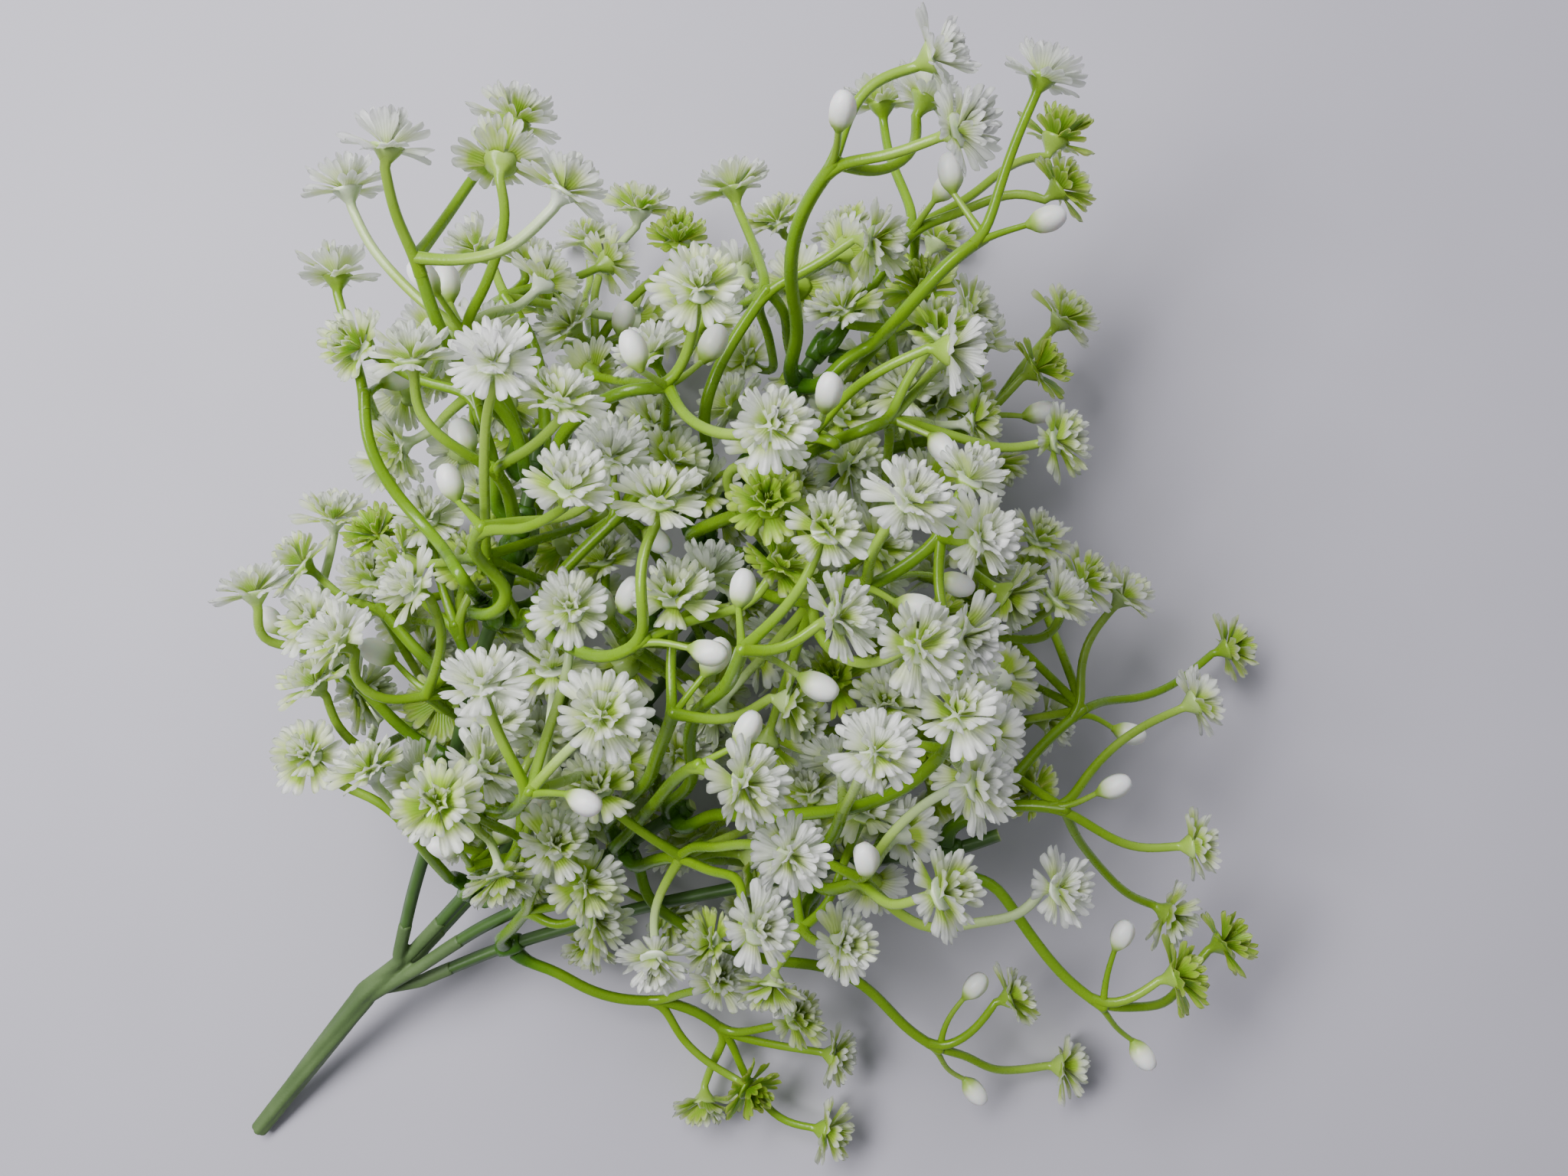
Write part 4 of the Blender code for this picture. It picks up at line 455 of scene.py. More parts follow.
class Plant:
    """The bush as points, chains of points, flowers and buds, each owned by one spray or stem."""

    def __init__(self):
        self.points = []
        self.fixed = []
        self.chains = []
        self.collars = []
        self.random = np.random.default_rng(SEED)

    def add_point(self, place, fixed=False):
        self.points.append(np.asarray(place, float))
        self.fixed.append(fixed)
        return len(self.points) - 1

    def add_chain(self, owner, kind, places, radius, start=None, fixed=0, **more):
        """A chain of points. It starts at an existing point, or at its own first place."""
        chain = [self.add_point(places[0], True) if start is None else start]
        for k, place in enumerate(places[1:]):
            chain.append(self.add_point(place, k + 1 < fixed))
        self.chains.append(dict(owner=owner, kind=kind, points=chain, radius=radius, **more))
        return chain[-1]

    def chain_of(self, owner):
        return next(c for c in self.chains if c["owner"] == owner)

    def tips(self, owner, kinds):
        return [c for c in self.chains if c["owner"] == owner and c["kind"] in kinds]

    def add_tip(self, owner, kind, node, row):
        x, y, z, azimuth, tilt = row[1:6]
        axis = facing(azimuth, tilt)
        size = self.random.uniform(0.94, 1.06)
        behind = 0.5 * BUD_LENGTH if kind == "bud" else CALYX_LENGTH
        base = lift(x, y, z) - axis * behind * size
        away = base - self.points[node]
        base = self.points[node] + unit(away) * max(np.linalg.norm(away), SHORTEST_STALK)
        route = lifted_route(self.points[node], row[6:], base)
        bend = min(6.0, 0.35 * np.linalg.norm(base - route[-2]))
        route.insert(-1, base - axis * bend)
        radius = STALK_RADIUS if kind == "bud" else PEDICEL_RADIUS
        white = (x, y) in PALE_PEDICELS
        spin = self.random.uniform(0, 2 * math.pi)
        path = smooth_path(route, POINT_SPACING)
        self.add_chain(owner, kind, path, radius, node, axis=axis, size=size, spin=spin, pale_stalk=white)

    def grow(self):
        for name, places in STEMS.items():
            path = smooth_path([lift(*place) for place in places], POINT_SPACING)
            self.add_chain(name, "stem", path, STEM_RADIUS, fixed=len(path))
        rows = list(LAYOUT)
        for k, row in enumerate(rows):
            if row[0] == "spray":
                owner, stem = row[1], row[2]
                centre, along = self.on_stem(stem, row[3], row[4])
                self.collars.append(dict(owner=owner, stem=stem, centre=centre, along=along))
                arms = []
                for later in rows[k + 1 :]:
                    if later[0] == "spray":
                        break
                    if later[0] == "arm":
                        arms.append(lifted_route(centre, later[4:], lift(*later[1:4])))
                leaving = iter(spread_round(centre, along, [route[1] for route in arms]))
                routes = iter(arms)
            elif row[0] == "arm":
                away, route = next(leaving), next(routes)
                root = centre + away * (COLLAR_BORE + 0.45)
                knee = centre + away * (COLLAR_RADIUS + 3.2)
                path = smooth_path([knee] + route[1:], POINT_SPACING)
                node = self.add_chain(owner, "arm", [root, *path], ARM_RADIUS, fixed=2)
            elif row[0] == "fork":
                path = smooth_path(lifted_route(self.points[node], row[4:], lift(*row[1:4])), POINT_SPACING)
                node = self.add_chain(owner, "arm", path, ARM_RADIUS, node)
            else:
                self.add_tip(owner, row[0], node, row)
        self.points = np.array(self.points)
        self.fixed = np.array(self.fixed)

    def on_stem(self, stem, x, y):
        """The stem's point that is seen nearest to (x, y), and its direction there."""
        path = smooth_path([self.points[i] for i in self.chain_of(stem)["points"]], 0.5)
        share = (VIEW_HEIGHT - path[:, 2:]) / VIEW_HEIGHT
        seen = (path[:, :2] + PLAN_MIDDLE) / share
        i = int(np.argmin(np.linalg.norm(seen - (x, y), axis=1)))
        i = min(max(i, 8), len(path) - 9)
        return path[i], unit(path[i + 6] - path[i - 6])

    def balls(self):
        """Balls that fill the bush, as an array with a row for each.

        A row holds two points, the share between them, an offset, a radius, the chain, the owner,
        the nearest hub with the distance to it, and whether the ball is at the root on the collar.
        """
        owners = {name: k for k, name in enumerate(dict.fromkeys(c["owner"] for c in self.chains))}
        rows = []
        for number, chain in enumerate(self.chains):
            owner = owners[chain["owner"]]
            ends = chain["points"]
            steps = [np.linalg.norm(self.points[b] - self.points[a]) for a, b in zip(ends, ends[1:])]
            rooted = chain["kind"] == "arm" and self.fixed[ends[0]]
            before = 0.0
            for a, b, length in zip(ends, ends[1:], steps):
                for t in np.linspace(0, 1, max(2, math.ceil(length / 2.2)), endpoint=False):
                    here = before + t * length
                    to_end = sum(steps) - here
                    hub, far = (ends[0], here) if here < to_end else (ends[-1], to_end)
                    if rooted and here < to_end:
                        hub = -2 - owner
                    root = rooted and here < 6.0
                    rows.append((a, b, t, 0, 0, 0, chain["radius"], number, owner, hub, far, root))
                before += length
            if "axis" in chain:
                for offset, radius in tip_balls(chain):
                    rows.append((ends[-1], ends[-1], 0, *offset, radius, number, owner, ends[-1], 0, 0))
        for number, collar in enumerate(self.collars):
            owner = owners[collar["owner"]]
            stem = self.chain_of(collar["stem"])["points"][0]
            for t in (-2, 0, 2):
                offset = collar["centre"] + collar["along"] * t - self.points[stem]
                rows.append((stem, stem, 0, *offset, COLLAR_RADIUS + 0.3, -1 - number, owner, -2 - owner, 0, 1))
        carriers = {owners[c["owner"]]: owners[c["stem"]] for c in self.collars}
        return np.array(rows, float), carriers

    def bend_clear(self, rounds):
        """Moves what would cross something else along the line of sight, and lifts what is below the surface."""
        rows, carriers = self.balls()
        a, b = rows[:, 0].astype(int), rows[:, 1].astype(int)
        t, offset, radius = rows[:, 2:3], rows[:, 3:6], rows[:, 6]
        labels = rows[:, 7:].copy()
        carrier = np.array([carriers.get(int(k), -1) for k in labels[:, 1]])
        movable = ~(self.fixed[a] & self.fixed[b])
        eye = np.array((-PLAN_MIDDLE[0], -PLAN_MIDDLE[1], VIEW_HEIGHT))
        links = np.array([pair for c in self.chains for pair in zip(c["points"], c["points"][1:])])
        degree = np.zeros(len(self.points))
        np.add.at(degree, links.ravel(), 1)
        for step in range(rounds):
            at = self.points[a] * (1 - t) + self.points[b] * t + offset
            if step % 6 == 0:
                i, j = near_pairs(at, radius, labels, carrier, movable)
            between = at[j] - at[i]
            sight = eye - 0.5 * (at[i] + at[j])
            sight /= np.linalg.norm(sight, axis=1, keepdims=True)
            depth = (between * sight).sum(axis=1)
            aside = np.sqrt(np.maximum((between**2).sum(axis=1) - depth**2, 0))
            need = radius[i] + radius[j] + GAP
            wanted = np.sqrt(np.maximum(need**2 - aside**2, 0))
            short = np.clip(wanted - np.abs(depth), 0, 2.0) * (aside < need)
            side = np.where(depth >= 0, 1.0, -1.0)
            straight = between / np.maximum(np.linalg.norm(between, axis=1, keepdims=True), 1e-6)
            share = movable[i].astype(float) + movable[j]
            push = (0.6 * short / share)[:, None] * (side[:, None] * sight + 0.3 * straight)
            move = np.zeros_like(at)
            weight = np.zeros(len(at))
            np.add.at(move, j, push * movable[j][:, None])
            np.add.at(move, i, -push * movable[i][:, None])
            np.add.at(weight, j, short > 0)
            np.add.at(weight, i, short > 0)
            move /= np.maximum(weight, 1)[:, None]
            low = np.maximum(radius - FLOOR_SINK - at[:, 2], 0)
            move[:, 2] += 0.5 * low
            weight = np.maximum(weight, low > 0)
            total = np.zeros_like(self.points)
            share = np.zeros(len(self.points))
            for index, part in ((a, 1 - t[:, 0]), (b, t[:, 0])):
                np.add.at(total, index, move * part[:, None])
                np.add.at(share, index, part * (weight > 0))
            total /= np.maximum(share, 0.35)[:, None]
            spread = np.zeros_like(total)
            np.add.at(spread, links[:, 0], total[links[:, 1]])
            np.add.at(spread, links[:, 1], total[links[:, 0]])
            total = 0.7 * total + 0.3 * spread / np.maximum(degree, 1)[:, None]
            total[self.fixed] = 0
            self.points += np.clip(total, -1.5, 1.5)
            if step % 5 == 4 or step > rounds - 5:
                self.open_forks()
        self.ease_tips()

    def open_forks(self):
        """Turns what leaves a hub apart, and keeps what is joined to it outside the hub."""
        for hub, ends in self.hubs().items():
            near = [chain["points"][1] if first else chain["points"][-2] for chain, first in ends]
            away = np.array([self.points[i] - self.points[hub] for i in near])
            reach = np.maximum(np.linalg.norm(away, axis=1), HUB_RADIUS + 1.6)
            held = np.array([self.fixed[i] for i in near])
            turned = spread_apart([unit(v) for v in away], held, HUB_ANGLE)
            for i, direction, length, fixed in zip(near, turned, reach, held):
                if not fixed:
                    self.points[i] = self.points[hub] + direction * length

    def ease_tips(self, widest=60.0):
        """Turns a flower or bud that would fold its stalk over."""
        for chain in self.chains:
            if "axis" not in chain:
                continue
            heading = unit(self.points[chain["points"][-1]] - self.points[chain["points"][-2]])
            angle = math.degrees(math.acos(float(np.clip(heading @ chain["axis"], -1, 1))))
            if angle > widest:
                across = unit(chain["axis"] - heading * heading.dot(chain["axis"]))
                turn = math.radians(widest)
                chain["axis"] = heading * math.cos(turn) + across * math.sin(turn)

    def hubs(self):
        """The point of each hub, with the chains that meet there and whether each one starts there."""
        found = {}
        for chain in self.chains:
            if chain["kind"] == "arm":
                found.setdefault(chain["points"][-1], []).append((chain, False))
        for chain in self.chains:
            if chain["points"][0] in found:
                found[chain["points"][0]].append((chain, True))
        return found


def spread_apart(directions, held, smallest):
    """Directions turned as little as leaves them a smallest angle apart. Held ones stay."""
    directions = np.array(directions)
    for _ in range(30):
        worst = False
        for i in range(len(directions)):
            for j in range(i + 1, len(directions)):
                angle = math.degrees(math.acos(float(np.clip(directions[i] @ directions[j], -1, 1))))
                if angle >= smallest:
                    continue
                worst = True
                across = unit(directions[j] - directions[i] + 1e-4)
                turn = math.radians(0.55 * (smallest + 0.5 - angle))
                for k, sign in ((i, -1), (j, 1)):
                    if not held[k]:
                        directions[k] = unit(directions[k] + across * sign * turn)
        if not worst:
            break
    return directions


def spread_round(centre, along, places, smallest=70.0):
    """Directions square to a stem towards the places, turned to be a smallest angle apart."""
    side, up = frame_of(along)
    angles = np.array([math.atan2((p - centre) @ up, (p - centre) @ side) for p in places])
    for _ in range(60):
        for i in range(len(angles)):
            for j in range(i + 1, len(angles)):
                apart = (angles[j] - angles[i] + math.pi) % (2 * math.pi) - math.pi
                lack = math.radians(smallest) - abs(apart)
                if lack > 0:
                    sign = 1.0 if apart >= 0 else -1.0
                    angles[i] -= 0.5 * sign * lack
                    angles[j] += 0.5 * sign * lack
    return [side * math.cos(angle) + up * math.sin(angle) for angle in angles]


def near_pairs(at, radius, labels, carrier, movable):
    """Pairs of balls that may meet and don't belong together."""
    chain, owner, hub, far, root = labels.T
    firsts, seconds = [], []
    for start in range(0, len(at), 400):
        block = slice(start, start + 400)
        apart = np.linalg.norm(at[block, None] - at[None, start:], axis=2)
        i, j = np.nonzero(apart < radius[block, None] + radius[None, start:] + 5.0)
        i += start
        j += start
        keep = (j > i) & (chain[i] != chain[j]) & (movable[i] | movable[j])
        i, j = i[keep], j[keep]
        joined = (hub[i] == hub[j]) & (far[i] < 10) & (far[j] < 10)
        at_home = ((root[i] > 0) & (carrier[i] == owner[j])) | ((root[j] > 0) & (carrier[j] == owner[i]))
        keep = ~joined & ~at_home
        firsts.append(i[keep])
        seconds.append(j[keep])
    return np.concatenate(firsts), np.concatenate(seconds)


def frame_of(axis):
    side = unit(np.cross(axis, (0.0, 0.0, 1.0) if abs(axis[2]) < 0.9 else (1.0, 0.0, 0.0)))
    return side, np.cross(axis, side)


def tip_balls(tip):
    """Balls, as offset from the tip's base and radius, that hold a head or a bud."""
    axis, size = tip["axis"], tip["size"]
    if tip["kind"] == "bud":
        return [(axis * 2.2 * size, 2.7 * size), (axis * 5.0 * size, 2.9 * size)]
    side, up = frame_of(axis)
    balls = [(axis * 2.4 * size, 2.3 * size), (axis * 6.2 * size, 3.0 * size)]
    for k in range(HEAD_PETALS):
        turn = tip["spin"] + 2 * math.pi * k / HEAD_PETALS
        out = side * math.cos(turn) + up * math.sin(turn)
        balls.append(((axis * (CALYX_LENGTH + 1.3) + out * 5.4) * size, 2.6 * size))
    return balls


def seen_places(places):
    """Where places are seen on the surface."""
    return (places[:, :2] + PLAN_MIDDLE) * VIEW_HEIGHT / (VIEW_HEIGHT - places[:, 2:])


def in_the_midst(at, seen, reach=22, parts=8):
    """Whether something is seen near a place on every side of it."""
    if np.linalg.norm(at - DEEP_MIDDLE) > DEEP_REACH:
        return False
    beside = (seen - at)[np.linalg.norm(seen - at, axis=1) < reach]
    return len(np.unique(np.arctan2(beside[:, 1], beside[:, 0]) // (2 * math.pi / parts))) >= parts


def add_deep_shoots(plant):
    """Adds short shoots with a flower below the nodes in the bush's middle, where they clear what is there.

    They close the depth of the bush, which the solids leave open.
    """
    draw = np.random.default_rng(SEED + 5)
    rows, _ = plant.balls()
    a, b, t = rows[:, 0].astype(int), rows[:, 1].astype(int), rows[:, 2:3]
    places = plant.points[a] * (1 - t) + plant.points[b] * t + rows[:, 3:6]
    radii = rows[:, 6]
    seen = seen_places(places)[::3]
    for hub, ends in plant.hubs().items():
        node = plant.points[hub]
        for _ in range(DEEP_SHOOTS):
            tries = []
            for _ in range(48):
                away = facing(draw.uniform(0, 360), draw.uniform(-85, -35))
                length = draw.uniform(14, 34)
                base = node + away * length
                axis = unit(away + (0, 0, draw.uniform(0.3, 1.0)))
                if not DEEP_HEIGHTS[0] < base[2] < DEEP_HEIGHTS[1] or not in_the_midst(seen_places(base[None]), seen):
                    continue
                steps = np.linspace(8, length, 5)
                here = np.vstack([node + away * steps[:, None], base + axis * 6])
                wide = np.array([1.7] * len(steps) + [DEEP_FLOWER])
                apart = np.linalg.norm(here[:, None] - places[None], axis=2) - radii - wide[:, None]
                tries.append((apart.min(), tuple(base), tuple(axis), tuple(away)))
            clear, *found = max(tries, default=(-9,))
            if clear < DEEP_TOUCH:
                continue
            base, axis, away = map(np.array, found)
            knee = node + away * 0.5 * np.linalg.norm(base - node)
            route = smooth_path([node, knee, base - axis * 4, base], 6.0)
            first = len(plant.points)
            plant.points = np.vstack([plant.points, route[1:]])
            kind = "part_green" if draw.uniform() < 0.3 else "head"
            plant.chains.append(dict(
                owner=ends[0][0]["owner"], kind=kind, points=[hub, *range(first, len(plant.points))],
                radius=PEDICEL_RADIUS, axis=axis, size=draw.uniform(0.94, 1.06), spin=draw.uniform(0, 6.2),
                pale_stalk=draw.uniform() < 0.15,
            ))
            places = np.vstack([places, route[1:], [base + axis * 6]])
            radii = np.concatenate([radii, [PEDICEL_RADIUS] * (len(route) - 1), [DEEP_FLOWER]])


@functools.lru_cache(maxsize=1)
def bush():
    """The bush's routes, bent clear of each other as the solids are, and its deep shoots."""
    plant = Plant()
    plant.grow()
    for rounds in (180, 80, 40):
        plant.bend_clear(rounds)
    add_deep_shoots(plant)
    return plant


def linear(colour):
    """A linear colour from an sRGB hex value."""
    parts = [int(colour[i : i + 2], 16) / 255 for i in (1, 3, 5)]
    return tuple(c / 12.92 if c <= 0.04045 else ((c + 0.055) / 1.055) ** 2.4 for c in parts)


COLOUR = functools.partial(bpy.props.FloatVectorProperty, subtype="COLOR", min=0, max=1)
SHARE = functools.partial(bpy.props.FloatProperty, subtype="FACTOR", min=0, max=1)
ANGLE = functools.partial(bpy.props.FloatProperty, subtype="ANGLE", min=0, max=math.pi)
# Lengths are in millimetres.
LENGTH = functools.partial(bpy.props.FloatProperty, min=2, max=12)
COUNT = functools.partial(bpy.props.IntProperty, min=3, max=10)


class FlowerSizes(bpy.types.PropertyGroup):
    """The double flowers and the buds."""

    outer_petals: COUNT(name="Outer Petals", description="Petals spread wide in a flower", default=6)
    outer_length: LENGTH(name="Outer Length", description="Length of a spread petal in mm", default=8.8)
    outer_spread: ANGLE(
        name="Outer Spread", description="Width of a spread petal round the flower", default=math.radians(50)
    )
    outer_tilt: ANGLE(name="Outer Tilt", description="Rise of the spread petals", default=math.radians(11))
    inner_petals: COUNT(name="Inner Petals", description="Petals of the raised crown", default=6)
    inner_length: LENGTH(name="Inner Length", description="Length of a raised petal in mm", default=8.2)
    inner_spread: ANGLE(
        name="Inner Spread", description="Width of a raised petal round the flower", default=math.radians(45)
    )
    inner_tilt: ANGLE(name="Inner Tilt", description="Rise of the raised petals", default=math.radians(39))
    heart_length: LENGTH(name="Heart Length", description="Length of the petals at the heart in mm", default=6.8)
    white: COLOUR(name="White", description="Colour of the petals", default=linear("#FBFBFA"))
    centre: COLOUR(name="Centre", description="Colour at the petals' roots", default=linear("#A2C634"))
    seed: bpy.props.IntProperty(name="Seed", description="Seed for the way each petal lies", default=7)


class StalkSizes(bpy.types.PropertyGroup):
    """The moulded stalks of the sprays, the stems and the grip."""

    rounding: SHARE(name="Rounding", description="Corner rounding of a stalk's square section", default=0.62)
    flutes: COUNT(name="Flutes", description="Grooves along a stem", default=4)
    groove: SHARE(
        name="Groove", description="Depth of a stem's grooves as a share of its radius", default=0.22, max=0.4
    )
    green: COLOUR(name="Green", description="Colour of the stalks", default=linear("#78A00D"))
    dark_green: COLOUR(name="Dark Green", description="Colour of the stems", default=linear("#4A6C30"))
    sage: COLOUR(name="Sage", description="Colour of the grip", default=linear("#566F3F"))


class StageSizes(bpy.types.PropertyGroup):
    """The surface, the lights and the camera."""

    surface: COLOUR(name="Surface", description="Colour of the surface", default=linear("#C0BDC8"))
    window: bpy.props.FloatProperty(
        name="Window", description="Strength of the light from the window", default=11.8, min=0, unit="POWER"
    )
    fill: SHARE(name="Fill", description="Strength of the even light all round", default=0.22)


def wire(tree, node, links):
    """Sets or links a node's inputs, by name or number. A node stands for its first output."""
    for key, value in links.items():
        socket = node.inputs[int(key[1:]) if key[1:].isdigit() else key.replace("_", " ")]
        for one in value if isinstance(value, list) else [value]:
            if isinstance(one, bpy.types.Node):
                one = one.outputs[0]
            if isinstance(one, bpy.types.NodeSocket):
                tree.links.new(one, socket)
            else:
                socket.default_value = one


def add(tree, kind, settings=None, **links):
    """Adds a node to a tree with its settings and links."""
    node = tree.nodes.new(kind)
    for key, value in (settings or {}).items():
        setattr(node, key, value)
    wire(tree, node, links)
    return node


def new_tree(name, inputs):
    """A geometry tree with named inputs after its geometry."""
    tree = bpy.data.node_groups.new(name, "GeometryNodeTree")
    tree.interface.new_socket("Geometry", in_out="INPUT", socket_type="NodeSocketGeometry")
    for label, kind, value in inputs:
        socket = tree.interface.new_socket(label, in_out="INPUT", socket_type="NodeSocket" + kind)
        if value is not None:
            socket.default_value = value
    tree.interface.new_socket("Geometry", in_out="OUTPUT", socket_type="NodeSocketGeometry")
    return tree, tree.nodes.new("NodeGroupInput"), tree.nodes.new("NodeGroupOutput")


def placed(name, mesh):
    obj = bpy.data.objects.new(name, mesh)
    bpy.context.scene.collection.objects.link(obj)
    return obj


def evaluated(obj):
    """The plain mesh object that an object's modifiers make of it, under the same name."""
    bpy.context.view_layer.update()
    mesh = bpy.data.meshes.new_from_object(obj.evaluated_get(bpy.context.evaluated_depsgraph_get()))
    name = mesh.name = obj.name
    bpy.data.objects.remove(obj)
    return placed(name, mesh)


def grown(obj, tree, values):
    """What a tree makes of an object."""
    modifier = obj.modifiers.new("grow", "NODES")
    modifier.node_group = tree
    for item in tree.interface.items_tree:
        if item.in_out == "INPUT" and item.name in values:
            modifier[item.identifier] = values[item.name]
    return evaluated(obj)


def finish_piece(obj, node, closed=True):
    """Puts the piece on the surface, turns a closed one's faces outwards and hands it over."""
    bm = bmesh.new()
    bm.from_mesh(obj.data)
    for vert in bm.verts:
        vert.co.z = max(vert.co.z, 0.1 * METRE)
    if closed:
        bmesh.ops.recalc_face_normals(bm, faces=bm.faces)
    bm.to_mesh(obj.data)
    bm.free()
    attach(obj, "root")
    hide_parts(node)


def close_tree(tree, start, end, geometry):
    """Ends a tree with smooth shading, real geometry and the material."""
    smooth = add(tree, "GeometryNodeSetShadeSmooth", Geometry=geometry)
    real = add(tree, "GeometryNodeRealizeInstances", Geometry=smooth)
    dressed = add(tree, "GeometryNodeSetMaterial", Geometry=real, Material=start.outputs["Material"])
    wire(tree, end, {"i0": dressed})
    return tree


def sweep_tree(name, pleated):
    """Sweeps a section along each route of the input, as wide as its thickness says, and puts a ball on each joint."""
    inputs = [
        ("Material", "Material", None), ("Rounding", "Float", 0.6), ("Ridges", "Int", 5), ("Groove", "Float", 0.15),
    ]
    tree, start, end = new_tree(name, inputs)
    given = start.outputs
    if pleated:
        inner = add(tree, "ShaderNodeMath", {"operation": "SUBTRACT"}, i0=1.0, i1=given["Groove"])
        section = add(tree, "GeometryNodeCurveStar", Points=given["Ridges"], Inner_Radius=inner, Outer_Radius=1.0)
    else:
        square = add(tree, "GeometryNodeCurvePrimitiveQuadrilateral", Width=1.84, Height=1.84)
        corner = given["Rounding"]
        section = add(tree, "GeometryNodeFilletCurve", {"mode": "POLY"}, Curve=square, Count=2, Radius=corner)
    route = add(tree, "GeometryNodeMeshToCurve", Mesh=given["Geometry"])
    thickness, joint = (
        add(tree, "GeometryNodeInputNamedAttribute", {"data_type": "FLOAT"}, Name=label)
        for label in ("thickness", "joint")
    )
    swept = add(tree, "GeometryNodeCurveToMesh", Curve=route, Profile_Curve=section, Scale=thickness, Fill_Caps=True)
    ball = add(tree, "GeometryNodeMeshIcoSphere", Radius=1.0, Subdivisions=3)
    chosen = add(tree, "FunctionNodeCompare", {"data_type": "FLOAT", "operation": "GREATER_THAN"}, i0=joint, i1=0.5)
    balls = add(
        tree, "GeometryNodeInstanceOnPoints", Points=given["Geometry"], Selection=chosen, Instance=ball,
        Scale=thickness,
    )
    both = add(tree, "GeometryNodeJoinGeometry", Geometry=[balls.outputs[0], swept.outputs[0]])
    return close_tree(tree, start, end, both)


def flower_tree():
    """Sets petals round an axis in whorls, in a few forms, and puts a flower on each point of the input."""
    inputs = [
        ("Material", "Material", None), ("Outer Petal", "Object", None), ("Inner Petal", "Object", None),
        ("Heart Petal", "Object", None), ("Filament", "Object", None), ("Outer Count", "Int", 6),
        ("Inner Count", "Int", 6), ("Outer Tilt", "Float", 0.3), ("Inner Tilt", "Float", 0.9), ("Seed", "Int", 7),
    ]
    tree, start, end = new_tree("Double Flowers", inputs)
    given = start.outputs
    index = add(tree, "GeometryNodeInputIndex")
    # Each whorl: its petal, their count, tilt, height on the axis in millimetres, and turn.
    rows = (
        ("Outer Petal", given["Outer Count"], given["Outer Tilt"], 2.9, 0.0),
        ("Inner Petal", given["Inner Count"], given["Inner Tilt"], 3.2, 0.5),
        ("Heart Petal", 6, 1.12, 3.5, 0.2),
        ("Filament", 3, 1.15, 3.7, 0.7),
    )
    # How far the inner whorls of each form are open.
    openings = (0.0, 0.14, -0.12, 0.05)
    forms = []
    for form in range(FLOWER_FORMS):
        whorls = []
        for whorl, (petal, count, tilt, height, turned) in enumerate(rows):
            seed = add(tree, "ShaderNodeMath", {"operation": "ADD"}, i0=given["Seed"], i1=10.0 * form + whorl)
            points = add(tree, "GeometryNodePoints", Count=count, Position=(0, 0, height * METRE))
            shake = add(
                tree, "FunctionNodeRandomValue", {"data_type": "FLOAT_VECTOR"},
                i0=(-0.28, -0.2, -0.14), i1=(0.28, 0.2, 0.14), ID=index, Seed=seed,
            )
            share = add(tree, "ShaderNodeMath", {"operation": "DIVIDE"}, i0=index, i1=count)
            turned += 0.37 * form
            around = add(tree, "ShaderNodeMath", {"operation": "MULTIPLY_ADD"}, i0=share, i1=2 * math.pi, i2=turned)
            open_by = openings[form] * (whorl > 0)
            rise = add(tree, "ShaderNodeMath", {"operation": "MULTIPLY_ADD"}, i0=tilt, i1=-1.0, i2=open_by)
            lay = add(tree, "ShaderNodeCombineXYZ", X=0.0, Y=rise, Z=around)
            turn = add(tree, "ShaderNodeVectorMath", {"operation": "ADD"}, i0=lay, i1=shake)
            shape = add(tree, "GeometryNodeObjectInfo", Object=given[petal]).outputs["Geometry"]
            size = add(tree, "FunctionNodeRandomValue", {"data_type": "FLOAT"}, i2=0.88, i3=1.07, ID=index, Seed=seed)
            whorls.append(add(
                tree, "GeometryNodeInstanceOnPoints", Points=points, Instance=shape, Rotation=turn,
                Scale=size.outputs[1],
            ))
        flower = add(tree, "GeometryNodeJoinGeometry", Geometry=whorls)
        forms.append(add(tree, "GeometryNodeGeometryToInstance", Geometry=flower))
    every = add(tree, "GeometryNodeJoinGeometry", Geometry=forms)
    form, turn, size = (
        add(tree, "GeometryNodeInputNamedAttribute", {"data_type": kind}, Name=label)
        for label, kind in (("form", "INT"), ("turn", "FLOAT_VECTOR"), ("size", "FLOAT"))
    )
    flowers = add(
        tree, "GeometryNodeInstanceOnPoints", Points=given["Geometry"], Instance=every, Pick_Instance=True,
        Instance_Index=form, Rotation=turn, Scale=size,
    )
    return close_tree(tree, start, end, flowers)


